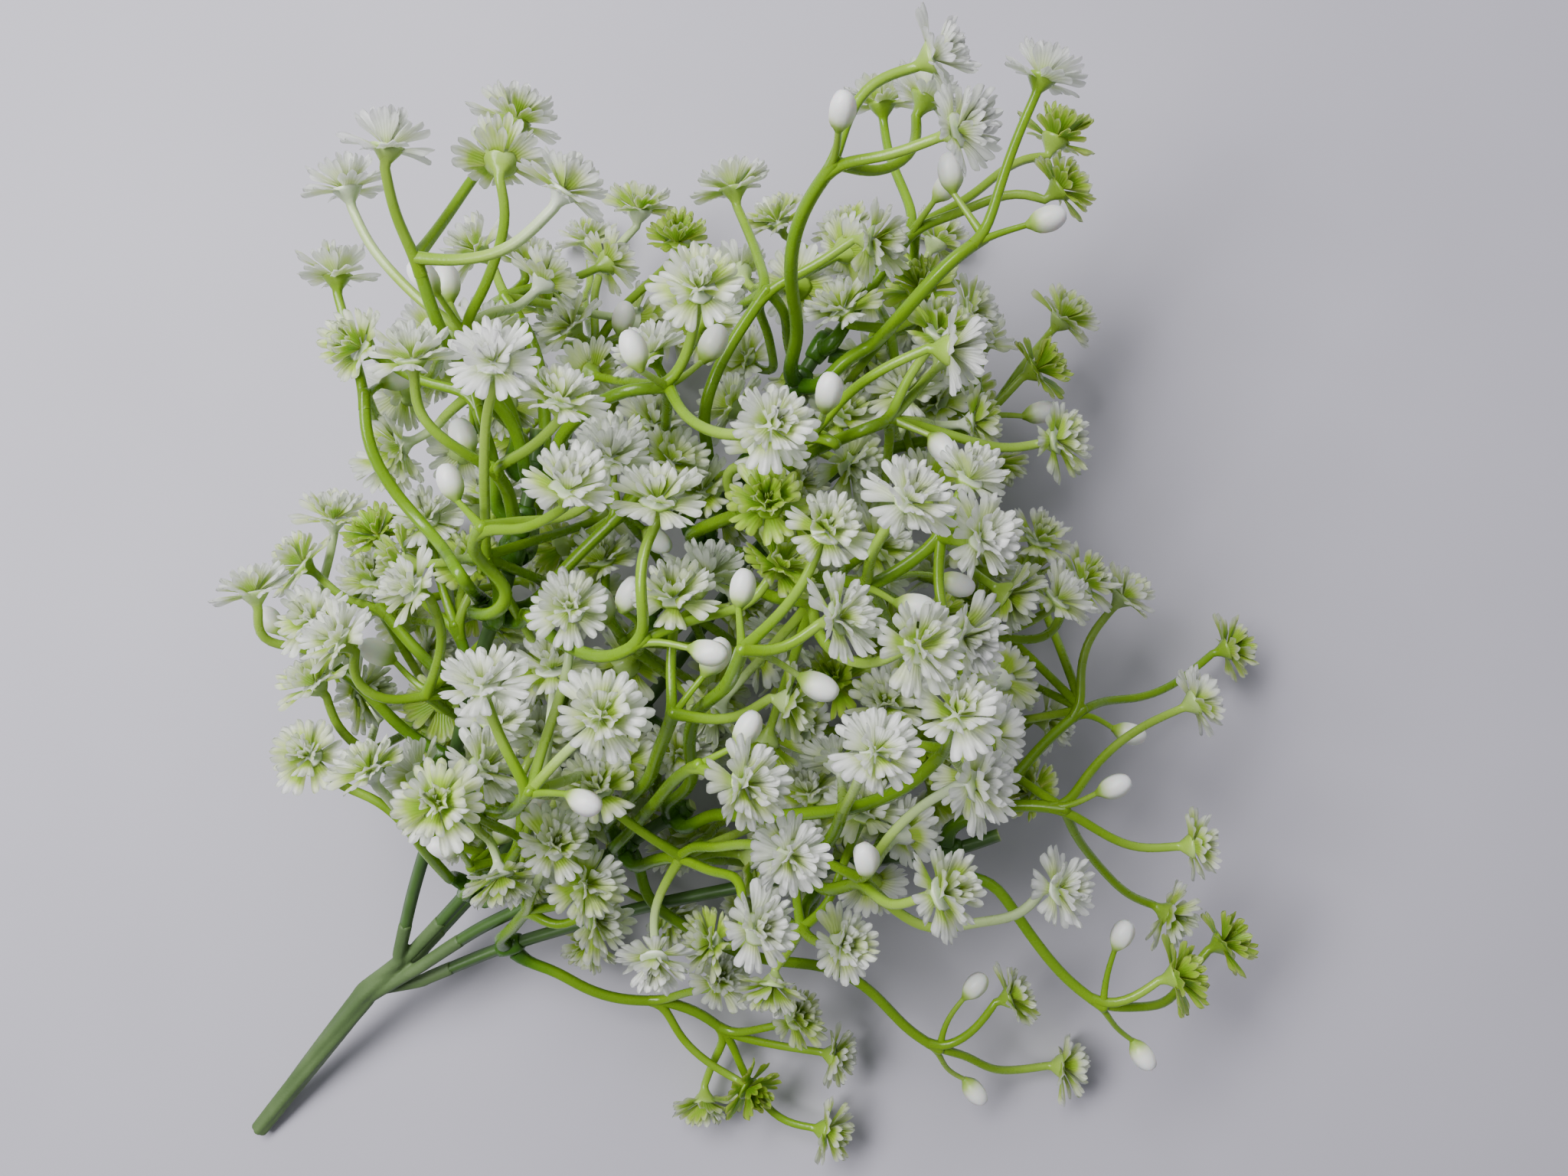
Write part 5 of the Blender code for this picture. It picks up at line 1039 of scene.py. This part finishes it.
def petal_object(name, length, spread, lobes, slit, droop, thickness):
    """A closed wedge petal with rounded lobes at its tip and a thin rim, along +X from the flower's axis."""
    bm = bmesh.new()
    along = bm.verts.layers.float.new("along")
    across = bm.verts.layers.float.new("across")
    half = 0.5 * spread

    def point(step, u, rim=True):
        """The vertex, or the upper and the lower one where the petal has a thickness."""
        wave = 0.35 * math.cos(math.pi * lobes * (u + 1)) * step**3
        height = length * (0.1 * step * (1 - u * u) - droop * step**3) - wave * (lobes > 1)
        made = []
        for side in (0,) if rim else (0.5, -0.5):
            place = (length * step * math.cos(u * half), length * step * math.sin(u * half), height + side * thickness)
            vert = bm.verts.new([c * METRE for c in place])
            vert[along], vert[across] = step, u
            made.append(vert)
        return made if len(made) == 2 else made * 2

    root = point(0.03, 0)
    waist = [point(0.5, -1 + 2 * k / lobes, rim=k in (0, lobes)) for k in range(lobes + 1)]
    folds = [point(1 - slit, -1 + 2 * k / lobes) for k in range(lobes + 1)]
    for k in range(lobes):
        middle = -1 + (2 * k + 1) / lobes
        reach = 1.0 - 0.07 * abs(middle)
        fold = point(1 - 0.9 * slit, middle, rim=False)
        knuckle = [point(reach - 0.45 * slit, middle + w / lobes, rim=w != 0) for w in (-0.87, 0, 0.87)]
        tip = [point(reach - drop * slit, middle + w / lobes) for w, drop in ((-0.52, 0.13), (0, 0), (0.52, 0.13))]
        for side in (0, 1):
            loops = (
                (root, waist[k], waist[k + 1]), (waist[k], folds[k], fold), (waist[k], fold, waist[k + 1]),
                (waist[k + 1], fold, folds[k + 1]), (folds[k], knuckle[0], knuckle[1], fold),
                (fold, knuckle[1], knuckle[2], folds[k + 1]), (knuckle[0], tip[0], tip[1], knuckle[1]),
                (knuckle[1], tip[1], tip[2], knuckle[2]),
            )
            for loop in loops:
                bm.faces.new([pair[side] for pair in loop])
    bmesh.ops.recalc_face_normals(bm, faces=bm.faces)
    for edge in bm.edges:
        edge.smooth = edge.calc_face_angle() < 1.3
    mesh = bpy.data.meshes.new(name)
    bm.to_mesh(mesh)
    bm.free()
    return placed(name, mesh)


class Routes:
    """Routes as loose lines, with a thickness and a paleness at each of their points."""

    def __init__(self):
        self.places, self.edges, self.thickness, self.pale, self.joint = [], [], [], [], []

    def add(self, places, thickness, pale):
        first = len(self.places)
        self.places += list(places)
        self.edges += [(first + k, first + k + 1) for k in range(len(places) - 1)]
        self.thickness += list(np.broadcast_to(thickness, len(places)))
        self.pale += list(np.broadcast_to(pale, len(places)))
        self.joint += [0.0] * len(places)

    def add_joint(self, place, thickness, pale):
        self.places.append(place)
        self.thickness.append(thickness)
        self.pale.append(pale)
        self.joint.append(1.0)

    def line_object(self, name):
        mesh = bpy.data.meshes.new(name)
        mesh.from_pydata([tuple(p * METRE) for p in self.places], self.edges, [])
        for label, values in (
            ("thickness", np.array(self.thickness) * METRE), ("pale", self.pale), ("joint", self.joint),
        ):
            layer = mesh.attributes.new(label, "FLOAT", "POINT")
            layer.data.foreach_set("value", np.asarray(values, np.float32))
        return placed(name, mesh)


def ramp_up(path, first, last):
    """Values that run evenly from first to last along a path."""
    along = travelled(path)
    return first + (last - first) * along / max(along[-1], 1e-9)


def eased(path):
    """A path with its corners rounded over about 4 mm."""
    for _ in range(6):
        path[1:-1] = 0.5 * path[1:-1] + 0.25 * (path[:-2] + path[2:])
    return path


def stalk_routes(plant, owner):
    """The arms, pedicels and bud stalks of a spray, with its collar."""
    routes = Routes()
    draw = np.random.default_rng(SEED + sum(map(ord, owner)))
    collar = next(c for c in plant.collars if c["owner"] == owner)
    # Along the stem and its radius there.
    barrel = ((-3.0, 1.55), (-2.7, 1.95), (-1.5, 2.2), (0.5, 2.4), (2.0, 2.3), (2.8, 1.95), (3.0, 1.55))
    routes.add([collar["centre"] + collar["along"] * h for h, _ in barrel], [r for _, r in barrel], -0.4)
    arrival = {}
    for chain in plant.chains:
        if chain["owner"] != owner:
            continue
        kind, ends = chain["kind"], chain["points"]
        points = plant.points[ends]
        root = points[0]
        if kind == "arm":
            path = eased(smooth_path(points, 2.0))
            arrival[ends[-1]] = unit(path[-1] - path[-3])
            near = np.linalg.norm(path - root, axis=1)
            pale, width = ramp_up(path, 0.1, 0.18), ramp_up(path, 1.26, 1.16)
            if ends[0] not in arrival:
                # Darker and thicker where it leaves the collar.
                pale = pale - 0.5 * np.exp(-((near / 6.0) ** 2))
                width = width + 0.55 * np.exp(-((near / 3.0) ** 2))
            routes.add(path, width, pale)
            routes.add_joint(path[-1], 1.12, 0.18)
            continue
        heading = arrival[ends[0]]
        if heading.dot(unit(points[1] - root)) > 0.2:
            points = np.vstack([root - heading * 3.0, points])
        path = eased(smooth_path(points, 1.9))
        swell = np.exp(-np.linalg.norm(path - points[0], axis=1) / 3.0)
        if kind == "bud":
            last = draw.uniform(0.22, 0.6)
            routes.add(path, ramp_up(path, 0.68, 0.56) + 0.3 * swell, ramp_up(path, 0.2, last))
            continue
        last = draw.uniform(0.82, 0.98) if chain["pale_stalk"] else draw.uniform(0.16, 0.6)
        pale = list(ramp_up(path, 0.25 if chain["pale_stalk"] else 0.18, last))
        width = list(ramp_up(path, 1.0, 0.9) + 0.25 * swell)
        bulb = draw.uniform(-0.1, 0.35)
        # The trumpet under the flower: height on its axis, and radius.
        trumpet = (
            (0.9, 1.0), (1.7, 1.45 + bulb), (2.4, 2.05 + bulb), (3.1, 2.65 + 0.5 * bulb), (3.7, 3.1), (3.85, 2.6),
            (3.9, 2.0),
        )
        for height, radius in trumpet:
            path = np.vstack([path, points[-1] + chain["axis"] * height * chain["size"]])
            pale.append(last + (0.06 * height + 0.5 * (height > 3.8)) * (kind != "green"))
            width.append(radius * chain["size"])
        routes.add(path, width, pale)
    return routes


def skin(name, cloud, stops, roughness, grain=None, ends=(0.0, 1.0), glow=(0.0, 0.05, (1.0, 0.2, 0.1))):
    """A material whose colour runs through the stops with its paleness, or along a petal, under a cloud.

    A pattern is the spacing of its lumps in millimetres, their detail, and the values that it runs between.
    The grain's last two are its strength and depth, and the glow is how far light comes through, in metres.
    """
    made = bpy.data.materials.new(name)
    made.use_nodes = True
    tree = made.node_tree
    spot = add(tree, "ShaderNodeTexCoord").outputs["Object"]

    def pattern(spacing, detail, low, high):
        lumps = add(tree, "ShaderNodeTexNoise", i0=spot, Scale=1.0 / (spacing * METRE), Detail=detail)
        return add(tree, "ShaderNodeMapRange", i0=lumps, To_Min=low, To_Max=high)

    pale, along, green, across = (
        add(tree, "ShaderNodeAttribute", {"attribute_name": label}).outputs["Fac"]
        for label in ("pale", "along", "green", "across")
    )
    # A flower's green value is its own green tint and, for flowers low in the bush, painted shade as well.
    petal = add(tree, "ShaderNodeMath", {"operation": "SUBTRACT"}, i0=along, i1=green)
    place = add(tree, "ShaderNodeMath", {"operation": "ADD"}, i0=pale, i1=petal)
    place = add(tree, "ShaderNodeMath", {"operation": "ADD"}, i0=place, i1=pattern(*cloud))
    place = add(tree, "ShaderNodeMapRange", i0=place, From_Min=ends[0], From_Max=ends[1])
    colour = add(tree, "ShaderNodeValToRGB", i0=place)
    elements = colour.color_ramp.elements
    while len(elements) < len(stops):
        elements.new(0.5)
    for element, (position, value) in zip(elements, stops):
        element.position = position
        element.color = (*(linear(value) if isinstance(value, str) else value), 1.0)
    links = {
        "Base_Color": colour, "Roughness": pattern(*roughness) if isinstance(roughness, tuple) else roughness,
        "Subsurface_Weight": glow[0], "Subsurface_Scale": glow[1], "Subsurface_Radius": glow[2],
    }
    if grain:
        spacing, detail, strength, depth = grain
        # A petal has veins about 0.7 mm apart as well.
        turns = add(tree, "ShaderNodeMath", {"operation": "MULTIPLY"}, i0=across, i1=22.0)
        veins = add(tree, "ShaderNodeMath", {"operation": "SINE"}, i0=turns)
        lumps = pattern(spacing, detail, 0.0, 1.0)
        height = add(tree, "ShaderNodeMath", {"operation": "MULTIPLY_ADD"}, i0=veins, i1=0.5, i2=lumps)
        links["Normal"] = add(tree, "ShaderNodeBump", Strength=strength, Distance=depth * METRE, Height=height)
    wire(tree, tree.nodes["Principled BSDF"], links)
    return made


def finish(piece, scene):
    """The material of a kind of piece."""
    stalks, flowers = scene.bush_stalks, scene.bush_flowers
    rows = {
        # Injection-moulded polyethylene: a waxy green with a soft gloss, paler where its colour ran thin.
        "stalks": dict(
            name="moulded_polyethylene_green", cloud=(9.0, 2.0, -0.16, 0.16), ends=(-0.4, 1.1),
            stops=(
                (0.0, "#38640F"), (0.22, "#5A870C"), (0.42, stalks.green),
                (0.62, "#9DBD4A"), (0.8, "#C6D9A0"), (1.0, "#E4EBDA"),
            ),
            roughness=(2.5, 2.0, 0.18, 0.38), grain=(0.7, 3.0, 0.35, 0.12), glow=(0.12, 0.0012, (0.6, 1.0, 0.25)),
        ),
        # Thin moulded polyethylene: milky white, lets some light through, green where the petals meet the cup.
        # Flowers low in the bush come out greener through their green value, which is painted shade.
        "petals": dict(
            name="moulded_polyethylene_petal", cloud=(6.0, 1.0, 0.5, -0.5), ends=(-0.75, 0.85),
            stops=(
                (0.0, "#628F0E"), (0.3, "#86B020"), (0.48, flowers.centre),
                (0.62, "#D2E2A2"), (0.78, "#ECF1E2"), (1.0, flowers.white),
            ),
            roughness=0.42, grain=(0.9, 2.0, 0.4, 0.16), glow=(0.7, 0.002, (1.0, 1.05, 0.9)),
        ),
        # The same milky plastic, moulded solid: a green cup that fades upwards to white.
        "buds": dict(
            name="moulded_polyethylene_bud", cloud=(3.0, 2.0, -0.1, 0.1),
            stops=((0.0, "#86AA2C"), (0.2, "#AECB66"), (0.42, "#E0E9C8"), (0.62, "#F1F4EA"), (1.0, flowers.white)),
            roughness=0.38, grain=(0.8, 2.0, 0.3, 0.15), glow=(0.3, 0.002, (1.0, 0.2, 0.1)),
        ),
        # Polyethylene extruded over wire: dark green with a dull shine, scuffed paler in places and at its cut end.
        "stems": dict(
            name="extruded_polyethylene_stem", cloud=(4.0, 2.0, -0.12, 0.12),
            stops=((0.0, "#304C20"), (0.3, stalks.dark_green), (0.6, "#708E48"), (1.0, "#BCC98A")),
            roughness=(1.5, 2.0, 0.34, 0.55), grain=(0.5, 3.0, 0.3, 0.1),
        ),
        # Soft moulded polyethylene with a dusty matt skin and fine drag marks.
        "grip": dict(
            name="moulded_polyethylene_grip", cloud=(12.0, 4.0, 0.0, 1.0),
            stops=((0.0, "#425C30"), (0.5, stalks.sage), (1.0, "#748C5A")),
            roughness=(2.0, 2.0, 0.5, 0.72), grain=(0.6, 4.0, 0.5, 0.18),
        ),
        # Painted board: matt and pale, with a faint unevenness.
        "surface": dict(
            name="painted_board", cloud=(60.0, 2.0, 0.0, 1.0),
            stops=((0.3, tuple(0.96 * c for c in scene.bush_stage.surface)), (0.7, scene.bush_stage.surface)),
            roughness=0.55,
        ),
    }
    return skin(**rows[piece])


class BUSH_OT_grip(bpy.types.Operator):
    """Make the grip with a sleeve for each stem"""

    bl_idname = "bush.grip"
    bl_label = "Grip"

    def execute(self, context):
        plant = bush()
        routes = Routes()
        grip = smooth_path([lift(*place) for place in HANDLE], 2.0)
        side, up = frame_of(unit(grip[-1] - grip[0]))
        routes.add(grip, ramp_up(grip, 1.2, 1.9), 0)
        stems = {}
        for name in STEMS:
            stem = smooth_path(plant.points[plant.chain_of(name)["points"]], 1.5)
            away = stem[8] - grip[-1]
            stems[math.atan2(away @ up, away @ side)] = name, stem
        # One strand for each stem, in a loose twist along the grip, and on over the stem as its sleeve.
        offset = ramp_up(grip, 1.05, 1.5)[:, None]
        step = 2 * math.pi / len(stems)
        first = np.mean([angle - step * rank for rank, angle in enumerate(sorted(stems))])
        for rank, angle in enumerate(sorted(stems)):
            name, stem = stems[angle]
            turns = (first + step * rank + ramp_up(grip, -GRIP_TWIST, 0))[:, None]
            strand = grip + offset * (side * np.cos(turns) + up * np.sin(turns))
            sleeve = stem[np.linalg.norm(stem - stem[0], axis=1) < SLEEVE_LENGTHS[name]]
            knee = stem[0] + 2.5 * unit(stem[0] - stem[1])
            route = smooth_path([*strand[:-2], knee, *sleeve], 1.5)
            routes.add(route, ramp_up(route, 1.15, 1.68), 0)
        obj = grown(routes.line_object("grip"), sweep_tree("Grip Sweep", False), {"Rounding": 0.85})
        # The strands melt into one skin, whose steps are smoothed away.
        melt = obj.modifiers.new("melt", "REMESH")
        melt.mode, melt.voxel_size = "VOXEL", 0.36 * METRE
        soft = obj.modifiers.new("soft", "SMOOTH")
        soft.factor, soft.iterations = 0.5, 7
        obj = evaluated(obj)
        obj.data.shade_smooth()
        obj.data.materials.clear()
        obj.data.materials.append(finish("grip", context.scene))
        finish_piece(obj, "handle")
        return {"FINISHED"}


class BUSH_OT_stems(bpy.types.Operator):
    """Make the fluted stems"""

    bl_idname = "bush.stems"
    bl_label = "Stems"

    def execute(self, context):
        plant = bush()
        sizes = context.scene.bush_stalks
        tree = sweep_tree("Stem Sweep", True)
        values = {"Material": finish("stems", context.scene), "Ridges": sizes.flutes, "Groove": sizes.groove}
        for name in STEMS:
            path = smooth_path(plant.points[plant.chain_of(name)["points"]], 1.8)
            # One more point just before the cut end, which is scuffed pale.
            path = np.vstack([path[:-1], path[-1] - 0.35 * unit(path[-1] - path[-2]), path[-1]])
            far = np.linalg.norm(path - path[-1], axis=1)
            routes = Routes()
            routes.add(path, STEM_RADIUS * 1.104, 0.24 + 0.7 * np.exp(-far / 0.35))
            finish_piece(grown(routes.line_object(name + "_fluted"), tree, values), name)
        return {"FINISHED"}


class BUSH_OT_stalks(bpy.types.Operator):
    """Make the collar, arms, pedicels and bud stalks of each spray"""

    bl_idname = "bush.stalks"
    bl_label = "Stalks"

    def execute(self, context):
        plant = bush()
        tree = sweep_tree("Stalk Sweep", False)
        values = {"Material": finish("stalks", context.scene), "Rounding": context.scene.bush_stalks.rounding}
        for collar in plant.collars:
            owner = collar["owner"]
            lines = stalk_routes(plant, owner).line_object(owner + "_stalks")
            finish_piece(grown(lines, tree, values), owner)
        return {"FINISHED"}


class BUSH_OT_flowers(bpy.types.Operator):
    """Make the double flowers of each spray"""

    bl_idname = "bush.flowers"
    bl_label = "Flowers"

    def execute(self, context):
        plant = bush()
        sizes = context.scene.bush_flowers
        tree = flower_tree()
        # Each petal: its length, width round the flower, lobes, depth of the slits, droop and thickness.
        petals = {
            name: petal_object(name.lower().replace(" ", "_"), *row)
            for name, row in {
                "Outer Petal": (sizes.outer_length, sizes.outer_spread, 3, 0.26, 0.12, 0.42),
                "Inner Petal": (sizes.inner_length, sizes.inner_spread, 3, 0.28, 0.06, 0.42),
                "Heart Petal": (sizes.heart_length, math.radians(40), 2, 0.26, 0.02, 0.42),
                "Filament": (4.2, math.radians(12), 2, 0.25, 0.0, 0.4),
            }.items()
        }
        values = {
            "Material": finish("petals", context.scene), "Outer Count": sizes.outer_petals,
            "Inner Count": sizes.inner_petals, "Outer Tilt": sizes.outer_tilt, "Inner Tilt": sizes.inner_tilt,
            "Seed": sizes.seed, **petals,
        }
        greens = {"head": (0.05, 0.34), "part_green": (0.45, 0.62), "green": (0.7, 0.95)}
        for collar in plant.collars:
            owner = collar["owner"]
            tips = plant.tips(owner, greens)
            draw = np.random.default_rng(SEED + 2 * sum(map(ord, owner)))
            places = plant.points[[c["points"][-1] for c in tips]]
            mesh = bpy.data.meshes.new(owner + "_points")
            mesh.from_pydata([tuple(place * METRE) for place in places], [], [])
            turns = []
            for chain in tips:
                side, up = frame_of(chain["axis"])
                spun = side * math.cos(chain["spin"]) + up * math.sin(chain["spin"])
                matrix = Matrix((spun, np.cross(chain["axis"], spun), chain["axis"])).transposed()
                turns.append(tuple(matrix.to_euler()))
            # Flowers that lie low in the bush are tinted greener by their height: painted shade, for the green shadow
            # deep among the stalks.
            painted_low_shade = 1 - places[:, 2] / 110
            green = [draw.uniform(*greens[c["kind"]]) + 0.4 * d for c, d in zip(tips, painted_low_shade)]
            form = draw.integers(0, FLOWER_FORMS, len(tips))
            for label, kind, field, numbers in (
                ("turn", "FLOAT_VECTOR", "vector", np.array(turns, np.float32)),
                ("size", "FLOAT", "value", np.array([c["size"] for c in tips], np.float32)),
                ("green", "FLOAT", "value", np.array(green, np.float32)),
                ("form", "INT", "value", form.astype(np.int32)),
            ):
                mesh.attributes.new(label, kind, "POINT").data.foreach_set(field, numbers.ravel())
            obj = grown(placed(owner + "_flowers", mesh), tree, values)
            finish_piece(obj, owner, closed=False)
        for petal in petals.values():
            bpy.data.objects.remove(petal)
        return {"FINISHED"}


class BUSH_OT_buds(bpy.types.Operator):
    """Make the pleated buds of each spray"""

    bl_idname = "bush.buds"
    bl_label = "Buds"

    def execute(self, context):
        plant = bush()
        tree = sweep_tree("Bud Sweep", True)
        values = {"Material": finish("buds", context.scene), "Ridges": 5, "Groove": 0.15}
        # Height on the bud's axis, radius, and how far the green has faded.
        profile = np.array((
            (-0.3, 0.65, 0.0), (0.4, 1.1, 0.05), (1.0, 1.65, 0.18), (1.8, 2.15, 0.32), (2.7, 2.4, 0.5), (3.8, 2.5, 0.7),
            (4.8, 2.4, 0.85), (5.7, 2.05, 0.95), (6.4, 1.6, 1.0), (6.9, 1.0, 0.9), (7.1, 0.2, 0.8),
        ))
        for collar in plant.collars:
            owner = collar["owner"]
            routes = Routes()
            for tip in plant.tips(owner, ["bud"]):
                base = plant.points[tip["points"][-1]]
                places = [base + tip["axis"] * height * tip["size"] for height in profile[:, 0]]
                routes.add(places, profile[:, 1] * tip["size"], profile[:, 2])
            if routes.places:
                obj = grown(routes.line_object(owner + "_buds"), tree, values)
                finish_piece(obj, owner)
        return {"FINISHED"}


class BUSH_OT_stage(bpy.types.Operator):
    """Make the surface, the lights and the camera"""

    bl_idname = "bush.stage"
    bl_label = "Stage"

    def execute(self, context):
        scene, sizes = context.scene, context.scene.bush_stage
        bpy.ops.mesh.primitive_plane_add(size=6.0, location=(0, 0, -0.1 * METRE))
        surface = context.object
        surface.name = "surface"
        surface.data.materials.append(finish("surface", scene))
        for name, place, size, power, colour in (
            ("window", (-0.36, 0.24, 0.74), (0.8, 0.28), sizes.window, (0.99, 0.985, 1.0)),
            ("bounce", (0.1, 0.9, 0.9), (1.2, 1.2), 0.22 * sizes.window, (0.96, 0.97, 1.0)),
        ):
            data = bpy.data.lights.new(name, "AREA")
            data.shape = "RECTANGLE"
            data.size, data.size_y = size
            data.energy = power
            data.color = colour
            lamp = bpy.data.objects.new(name, data)
            lamp.location = place
            lamp.rotation_euler = (-lamp.location).to_track_quat("-Z", "Y").to_euler()
            scene.collection.objects.link(lamp)
        world = bpy.data.worlds.new("room")
        world.use_nodes = True
        wire(world.node_tree, world.node_tree.nodes["Background"], {"i0": (0.9, 0.92, 1.0, 1.0), "i1": sizes.fill})
        scene.world = world
        data = bpy.data.cameras.new("camera")
        data.sensor_width = 36.0
        data.lens = data.sensor_width * VIEW_HEIGHT / PICTURE_WIDTH
        data.clip_start = 10 * METRE
        camera = bpy.data.objects.new("camera", data)
        camera.location = [c * METRE for c in (-PLAN_MIDDLE[0], -PLAN_MIDDLE[1], VIEW_HEIGHT)]
        scene.collection.objects.link(camera)
        scene.camera = camera
        return {"FINISHED"}


class BUSH_PT_panel(bpy.types.Panel):
    """The pieces of the bush"""

    bl_idname = "BUSH_PT_panel"
    bl_label = "Gypsophila Bush"
    bl_space_type = "VIEW_3D"
    bl_region_type = "UI"
    bl_category = "Bush"

    def draw(self, context):
        for operator in OPERATORS:
            self.layout.operator(operator.bl_idname)
        for group in (context.scene.bush_flowers, context.scene.bush_stalks, context.scene.bush_stage):
            for name in group.bl_rna.properties.keys()[2:]:
                self.layout.prop(group, name)


OPERATORS = (BUSH_OT_stage, BUSH_OT_grip, BUSH_OT_stems, BUSH_OT_stalks, BUSH_OT_flowers, BUSH_OT_buds)
CLASSES = (FlowerSizes, StalkSizes, StageSizes, *OPERATORS, BUSH_PT_panel)


def register():
    for one in CLASSES:
        bpy.utils.register_class(one)
    bpy.types.Scene.bush_flowers = bpy.props.PointerProperty(type=FlowerSizes)
    bpy.types.Scene.bush_stalks = bpy.props.PointerProperty(type=StalkSizes)
    bpy.types.Scene.bush_stage = bpy.props.PointerProperty(type=StageSizes)


def unregister():
    del bpy.types.Scene.bush_flowers
    del bpy.types.Scene.bush_stalks
    del bpy.types.Scene.bush_stage
    for one in reversed(CLASSES):
        bpy.utils.unregister_class(one)


def main():
    register()
    bpy.ops.bush.stage()
    bpy.ops.bush.grip()
    bpy.ops.bush.stems()
    bpy.ops.bush.stalks()
    bpy.ops.bush.flowers()
    bpy.ops.bush.buds()


if __name__ == "__main__":
    main()
